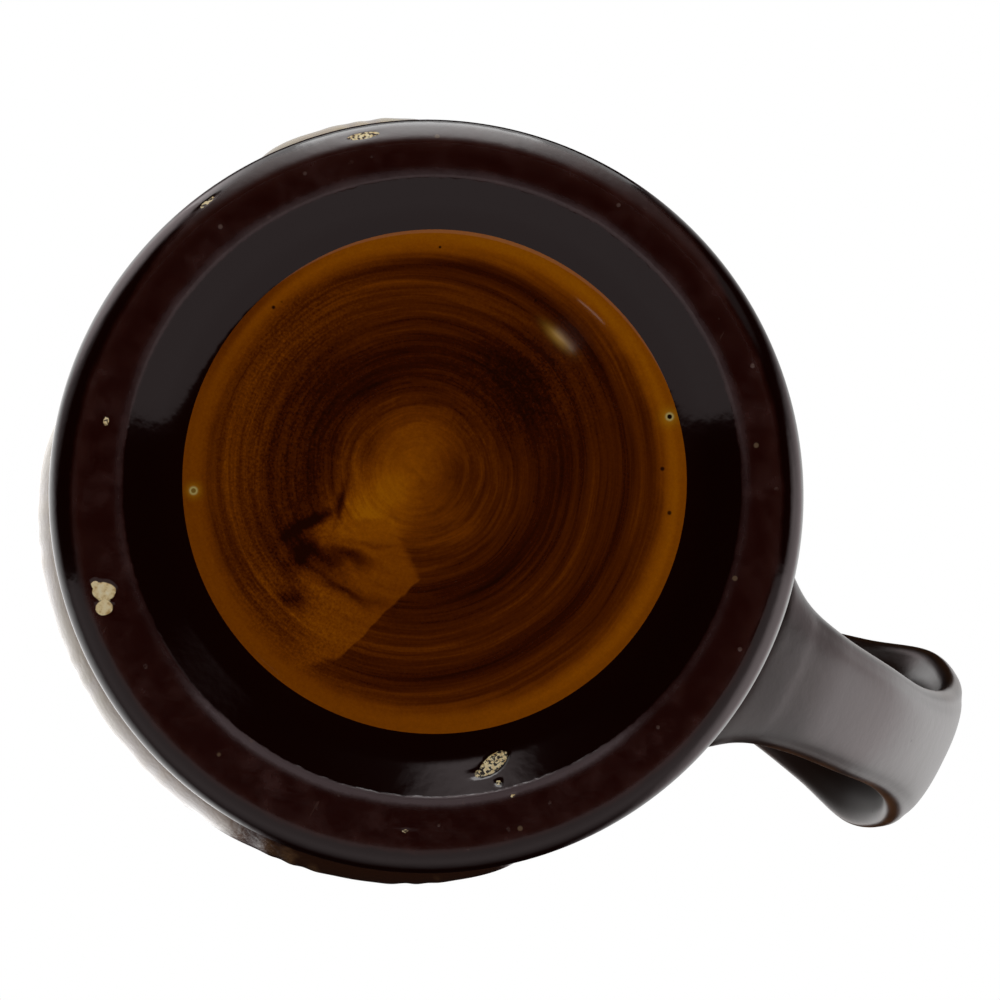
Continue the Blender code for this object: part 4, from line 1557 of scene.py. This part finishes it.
                # The pole points out of the skin and a little down, as fruit hangs
                pole = 0.86 * out + np.array((0.0, 0.0, -0.51))
                lift = np.cross(beside, pole)
                ball = (np.cos(polar)[..., None] * pole + np.sin(polar)[..., None]
                        * (np.cos(turn)[..., None] * beside + np.sin(turn)[..., None] * lift))
                grid = middle + size[..., None] * ball
                thin = 0.75 - 0.9 * bell(polar, 0.22) - 0.35 * ease(1.0, 1.9, polar) + 0.0 * turn
                ends = [middle[None, :] + share * self.berry_radius * pole
                        for share in (0.90, -1.0)]
                parts.append(capped_rows(grid, ends[0], ends[1], {"thin": thin}))
        return joined(parts)

    def foliage(self) -> Shell:
        """All the leaves.

        Returns:
            One shell of them.
        """
        return joined([self.leaf(place, i) for i, place in enumerate(self.leaves())])


@dataclass
class Bank:
    """A low grassy bank of ground that lies along the skin below a vine."""

    middle: float
    half_span: float
    height: float
    half_width: float
    rise: float
    thinned: tuple[float, float] = (-400.0, -300.0)
    form: JugForm = FORM
    root: float = 1.2 * MM
    sink: float = 0.6 * MM
    rounding: float = 3.0
    end_width: float = 0.4
    tuft_lift: float = 0.11
    lump_lift: float = 0.06
    rows: int = 260
    columns: int = 44

    def build(self) -> Shell:
        """Carry a crowned section along the skin, rounded off and narrowed at both ends.

        Along the bank u runs from -1 to 1 and its share of full rise is (1 - |u|³)^(1/3).  Across
        it the crown stands 1 - v² high, v from edge to edge, with low tufts of grass that stand
        side by side.  The glaze thins along it, over the span of angles in `thinned`.

        Returns:
            A closed shell with the mark "thin".
        """
        u = np.sin(np.linspace(-math.pi / 2, math.pi / 2, self.rows))[:, None]
        share = np.cbrt(np.clip(1.0 - np.abs(u) ** self.rounding, 0.0, 1.0))
        reach = self.half_width * (self.end_width + (1.0 - self.end_width) * share)
        angle = np.radians(self.middle + self.half_span * u)
        v = np.linspace(-1.0, 1.0, self.columns - 3)[None, :]
        up = v + 0.0 * u
        crown = (1.0 - v ** 2) * (1.0 - 0.08 * v)
        blade = np.sin(angle * 62.0 + 2.6 * np.sin(angle * 17.0) + 2.4 * v)
        tuft = blade * (0.65 + 0.35 * np.sin(angle * 23.0 - 4.0 * v)) * np.cos(v * math.pi / 2)
        lumps = np.sin(angle * 21.0 + 3.0 * v) * np.sin(angle * 11.0 - 2.0 * v + 0.7)
        lift = ((self.rise * crown + self.sink) * share - self.sink
                + share * crown * MM * (self.tuft_lift * (tuft - 0.4) + self.lump_lift * lumps))
        thin = 0.74 + 0.30 * tuft + 0.14 * lumps - 0.6 * ease(0.72, 1.0, np.abs(v))
        thin = thin - 0.9 * (1.0 - ease(*np.radians(self.thinned), angle))

        # Close the section through the wall
        below = np.array((1.0, 0.0, -1.0))[None, :]
        up = np.concatenate((up, below + 0.0 * u), axis=1)
        lift = np.concatenate((lift, np.full((self.rows, 3), -self.root)), axis=1)
        thin = np.concatenate((thin + 0.0 * u, np.zeros((self.rows, 3))), axis=1)
        grid = self.form.on_skin(angle, self.height + reach * up, lift)
        first, last = (self.form.at_skin(angle[i], self.height, -self.root) for i in (0, -1))
        return capped_rows(grid, first, last, {"thin": thin})


# ---------------------------------------------------------------------------------------------
# The studio


@dataclass(frozen=True)
class Glow:
    """A soft patch of light in the room, seen from the jug."""

    bearing: float
    lean: float
    radius: float
    softness: float
    level: float

    def over(self, book: NodeBook, ray: bpy.types.NodeSocket) -> Amount:
        """The patch's light in each direction.

        Args:
            book: The world's tree.
            ray: The direction looked along.

        Returns:
            The level inside the patch, falling to nothing over its soft edge.
        """
        bearing, lean = math.radians(self.bearing), math.radians(self.lean)
        flat = ACROSS * math.cos(bearing) + UP * math.sin(bearing)
        middle = (*(flat * math.sin(lean)), -math.cos(lean))
        outer = math.cos(math.radians(self.radius + self.softness))
        inner = math.cos(math.radians(self.radius - self.softness))
        return book.along(ray, middle).ease(outer, inner) * self.level


class Lit(Enum):
    """The pieces that a lamp lights."""

    ALL = "all"
    SIDES = "sides"
    LAST_BANK = "last_bank"
    HANDLE = "handle"


@dataclass(frozen=True)
class Lamp:
    """A soft oblong lamp, placed across, up and down from the foot's middle or from the grip.

    Its aim is measured from the same point, and along is the way that its first side runs.
    """

    name: str
    stand: tuple[float, float, float]
    size: tuple[float, float]
    power: float
    along: tuple[float, float, float] = (1.0, 0.0, 0.0)
    aim: tuple[float, float, float] = (0.0, 0.0, 0.0)
    lit: Lit = Lit.ALL
    from_grip: bool = False
    seen_in_gloss: bool = True


@dataclass
class Studio:
    """Camera below the jug, a pale floor, and a white room with a grey table and soft boxes."""

    camera_off: tuple[float, float] = (-11.3 * MM, 8.3 * MM)
    camera_distance: float = 700.0 * MM
    half_view: float = math.radians(6.1216)
    aim: tuple[float, float] = (0.0351, 0.0026)
    background: float = 1.0
    table: float = 0.42
    table_slant: float = 0.241
    table_middle: float = 0.152
    table_span: tuple[float, float] = (0.085, 0.2)
    lower_screen: tuple[float, float, float] = (1.2, 0.15, 0.50)
    upper_screen: tuple[float, float, float] = (1.0, 0.0, 0.30)
    floor_radius: float = 1.6
    floor_points: int = 96
    table_tint: Colour = (1.0, 0.86, 0.87)
    glows: tuple[Glow, ...] = (
        Glow(96.0, 79.0, 8.0, 8.0, 1.0),
        Glow(343.0, 122.0, 25.0, 12.0, 1.05),
        Glow(152.0, 128.0, 24.0, 12.0, 0.40),
        Glow(139.0, 120.0, 15.0, 8.0, 1.20),
        Glow(40.0, 88.0, 14.0, 5.0, 0.15),
        Glow(2.0, 99.0, 8.0, 3.0, 0.30),
    )
    side_glow: Glow = Glow(202.0, 145.0, 30.0, 12.0, 1.1)
    # A broad key that only soft colour takes up, a small spark, and soft boxes
    hung: tuple[Lamp, ...] = (
        Lamp("key", (0.10, 0.15, 0.9), (0.5, 0.5), 3.4, seen_in_gloss=False),
        Lamp("spark", (0.0359, 0.0318, 0.5), (0.005, 0.0015), 0.00003, (-1.0, 1.0, 0.0),
             (0.0208, 0.0237, 0.0)),
        Lamp("upper_box", (0.0, 0.9, -0.20), (0.55, 0.85), 3.8, lit=Lit.SIDES),
        Lamp("upper_sheet", (-0.03, 0.9, -0.28), (1.15, 1.05), 3.8, lit=Lit.SIDES),
        Lamp("bank_box", (-0.16, 0.36, -0.90), (0.5, 0.4), 0.4, lit=Lit.LAST_BANK),
        Lamp("handle_box", (0.50, -0.42, -0.10), (0.9, 0.6), 1.2, (1.0, 1.0, 0.0),
             lit=Lit.HANDLE, from_grip=True),
        Lamp("ear_box", (-0.42, -0.42, 0.22), (0.5, 0.5), 0.3, (1.0, -1.0, 0.0),
             lit=Lit.HANDLE, from_grip=True),
    )

    def camera(self) -> None:
        """Stand the camera under the foot, rolled so that the handle reaches to the lower right."""
        data = bpy.data.cameras.new("camera")
        data.sensor_width = 36.0
        data.lens = data.sensor_width / 2 / math.tan(self.half_view)
        data.clip_start, data.clip_end = 0.01, 20.0
        camera = bpy.data.objects.new("camera", data)
        bpy.context.scene.collection.objects.link(camera)
        ahead = Vector((0.0, 0.0, 1.0)) + self.aim[0] * Vector((*ACROSS, 0.0)) \
            + self.aim[1] * Vector((*UP, 0.0))
        ahead.normalize()
        right = ahead.cross(Vector((*UP, 0.0))).normalized()
        above = right.cross(ahead)
        turned = Matrix((right, above, -ahead)).transposed().to_4x4()
        place = Vector((FORM.axis_x + self.camera_off[0], self.camera_off[1],
                        -self.camera_distance))
        camera.matrix_world = Matrix.Translation(place) @ turned
        bpy.context.scene.camera = camera

    def floor(self) -> None:
        """A round pale floor, seen from above only, that gives no light to the jug."""
        count = self.floor_points
        turn = np.linspace(0.0, TAU, count, endpoint=False)
        rim = np.stack((np.cos(turn), np.sin(turn), 0.0 * turn), axis=1) * self.floor_radius
        points = np.vstack((rim, ((0.0, 0.0, 0.0),)))
        shell = Shell(points, np.zeros((0, 4), int), fan(count, 0, count, False))
        paper = bpy.data.materials.new("floor_paper")
        paper.use_nodes = True
        book = NodeBook(paper.node_tree)
        shader = paper.node_tree.nodes["Principled BSDF"]
        shader.inputs["Base Color"].default_value = (0.83, 0.82, 0.81, 1.0)
        shader.inputs["Roughness"].default_value = 0.9
        shader.inputs["Specular IOR Level"].default_value = 0.1
        below = book.node("ShaderNodeNewGeometry").outputs["Backfacing"]
        clear = book.node("ShaderNodeBsdfTransparent").outputs[0]
        mixed = book.node("ShaderNodeMixShader", None,
                          {0: below, 1: shader.outputs[0], 2: clear}).outputs[0]
        book.feed(paper.node_tree.nodes["Material Output"].inputs["Surface"], mixed)
        floor = shell.as_object("floor", [paper])
        floor.visible_diffuse = False
        floor.visible_glossy = False
        floor.visible_transmission = False
        floor.visible_shadow = False

    def room(self) -> None:
        """White room behind the jug, dim in front, a grey table below, and soft boxes."""
        world = bpy.data.worlds.new("studio")
        bpy.context.scene.world = world
        world.use_nodes = True
        book = NodeBook(world.node_tree)
        back = world.node_tree.nodes["Background"]
        ray = book.node("ShaderNodeTexCoord").outputs["Generated"]
        right = book.along(ray, (*ACROSS, 0.0))
        up = book.along(ray, (*UP, 0.0))
        away = book.along(ray, (0.0, 0.0, 1.0))

        # The white lies right behind the jug, with dark screens across its lower and upper side
        aslant = length(right, up).at_least(0.03)
        lower, upper = (((way * up - abs(right) * spread) / aslant).ease(low, high)
                        for way, (spread, low, high) in ((-1.0, self.lower_screen),
                                                         (1.0, self.upper_screen)))
        screen = (lower + upper).at_most(1.0)
        white = (away.ease(0.45, 0.95) * self.background
                 + self.side_glow.over(book, ray)) * (1.0 - screen)
        least, most = self.table_span
        edge = ((right * self.table_slant + self.table_middle).at_most(most).at_least(least)
                + (-0.28 - right).at_least(0.0) * 0.21)
        table = (-1.0 * up - edge).ease(-0.012, 0.012) * (1.0 - away.ease(0.05, 0.60)) * self.table
        level = white.at_least(table).at_least(0.004)
        for glow in self.glows:
            level = level + glow.over(book, ray)
        seen = Amount(book, book.node("ShaderNodeLightPath").outputs["Is Camera Ray"])
        tint = book.blend(white.ease(0.2, 0.6), self.table_tint, (1.0, 0.985, 0.98))
        book.feed(back.inputs["Color"], book.blend(seen, tint, (1.0, 1.0, 1.0)))
        book.feed(back.inputs["Strength"], seen + (1.0 - seen) * level)

    def lamp(self, lamp: Lamp, lit: Sequence[bpy.types.Object]) -> None:
        """Hang one lamp, which the camera doesn't see.

        Args:
            lamp: Its place, size and power.
            lit: The pieces that it lights; it lights them all where there are none.
        """
        data = bpy.data.lights.new(lamp.name, "AREA")
        data.shape, data.energy = "RECTANGLE", lamp.power
        data.size, data.size_y = lamp.size
        made = bpy.data.objects.new(lamp.name, data)
        ways = (Vector((*ACROSS, 0.0)), Vector((*UP, 0.0)), Vector((0.0, 0.0, -1.0)))
        middle = GRIP if lamp.from_grip else Vector((FORM.axis_x, 0.0, 0.0))
        place, aim, along = (
            sum((share * way for share, way in zip(shares, ways)), Vector())
            for shares in (lamp.stand, lamp.aim, lamp.along))
        back = (place - aim).normalized()
        above = back.cross(along).normalized()
        turned = Matrix((above.cross(back), above, back)).transposed().to_4x4()
        made.matrix_world = Matrix.Translation(middle + place) @ turned
        made.visible_camera = False
        made.visible_glossy = lamp.seen_in_gloss
        if lit:
            only = bpy.data.collections.new(f"lit_by_{lamp.name}")
            for piece in lit:
                only.objects.link(piece)
            made.light_linking.receiver_collection = only
        bpy.context.scene.collection.objects.link(made)

    def lamps(self, body: bpy.types.Object, ground: Sequence[bpy.types.Object],
              handle: bpy.types.Object) -> None:
        """Hang every lamp, each over the pieces that it lights.

        Args:
            body: The jug's body.
            ground: The two banks; the last has a box of its own.
            handle: The strap handle, which has two boxes of its own.
        """
        lit = {Lit.ALL: (), Lit.SIDES: (body, *ground), Lit.LAST_BANK: (ground[-1],),
               Lit.HANDLE: (handle,)}
        for lamp in self.hung:
            self.lamp(lamp, lit[lamp.lit])


# ---------------------------------------------------------------------------------------------


def place_piece(piece: bpy.types.Object, replaces: bool = False) -> None:
    """Fix a piece to the jug, and report it.

    Args:
        piece: The new piece.
        replaces: Whether it stands for the plain solid.
    """
    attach(piece, "root")
    if replaces:
        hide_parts("pitcher")
    LOG.info("%s: %d points, %d faces", piece.name, len(piece.data.vertices),
             len(piece.data.polygons))


def main() -> None:
    """Build the studio and every piece in order."""
    logging.basicConfig(level=logging.INFO, format="%(name)s %(message)s")
    bpy.context.scene.view_settings.view_transform = "Standard"
    studio = Studio()
    studio.camera()
    studio.room()
    studio.floor()

    treacle = TreacleGlaze("treacle_glaze_outside").material()
    finishes = {Zone.LINING: LiningGlaze("amber_lining").material(),
                Zone.OUTSIDE: treacle,
                Zone.FOOT: FootFinish("foot_ring").material(),
                Zone.DISC: AmberDisc("amber_disc").material()}
    body = TurnedBody().build().as_object("jug_body", [finishes[zone] for zone in Zone])
    place_piece(body, replaces=True)
    handle = StrapHandle().build().as_object("strap_handle",
                                             [StrapGlaze("treacle_glaze_handle").material()])
    place_piece(handle)

    leaf_glaze = ReliefGlaze("leaf_glaze").material()
    stem_glaze = ReliefGlaze("stem_glaze", crown=(0.21, 0.10, 0.038), middle=(0.095, 0.036, 0.012),
                             tint=(0.15, 0.07, 0.025)).material()
    berry_glaze = ReliefGlaze("berry_glaze", crown=(0.26, 0.060, 0.022),
                              middle=(0.12, 0.020, 0.010), hollow=(0.03, 0.007, 0.004),
                              tint=(0.20, 0.09, 0.03)).material()
    boughs = {
        "a": Bough(50, 160, 74 * MM, 2.5 * MM, 2.0, 3.0 * MM, 4, 34 * MM, 12.6 * MM),
        "b": Bough(-46, -137, 92 * MM, 2.5 * MM, 1.5, 2.6 * MM, 3, 28 * MM, 12.2 * MM,
                   relief=2.2 * MM)}
    for side, bough in boughs.items():
        place_piece(bough.stems().as_object(f"bough_stems_{side}", [stem_glaze]))
        place_piece(bough.foliage().as_object(f"bough_leaves_{side}", [leaf_glaze]))
        place_piece(bough.berries().as_object(f"bough_berries_{side}", [berry_glaze]))
    ground_glaze = ReliefGlaze("ground_glaze", crown=(0.36, 0.27, 0.15),
                               middle=(0.17, 0.095, 0.040), hollow=(0.034, 0.013, 0.006),
                               tint=(0.25, 0.22, 0.10)).material()
    banks = {"a": Bank(107.0, 59.0, 34.0 * MM, 13.0 * MM, 3.08 * MM, (66.0, 122.0)),
             "b": Bank(-129.0, 14.0, 36.0 * MM, 11.0 * MM, 1.6 * MM)}
    ground = [bank.build().as_object(f"ground_bank_{side}", [ground_glaze])
              for side, bank in banks.items()]
    for piece in ground:
        place_piece(piece)
    studio.lamps(body, ground, handle)

    bpy.context.view_layer.update()


if __name__ == "__main__":
    main()
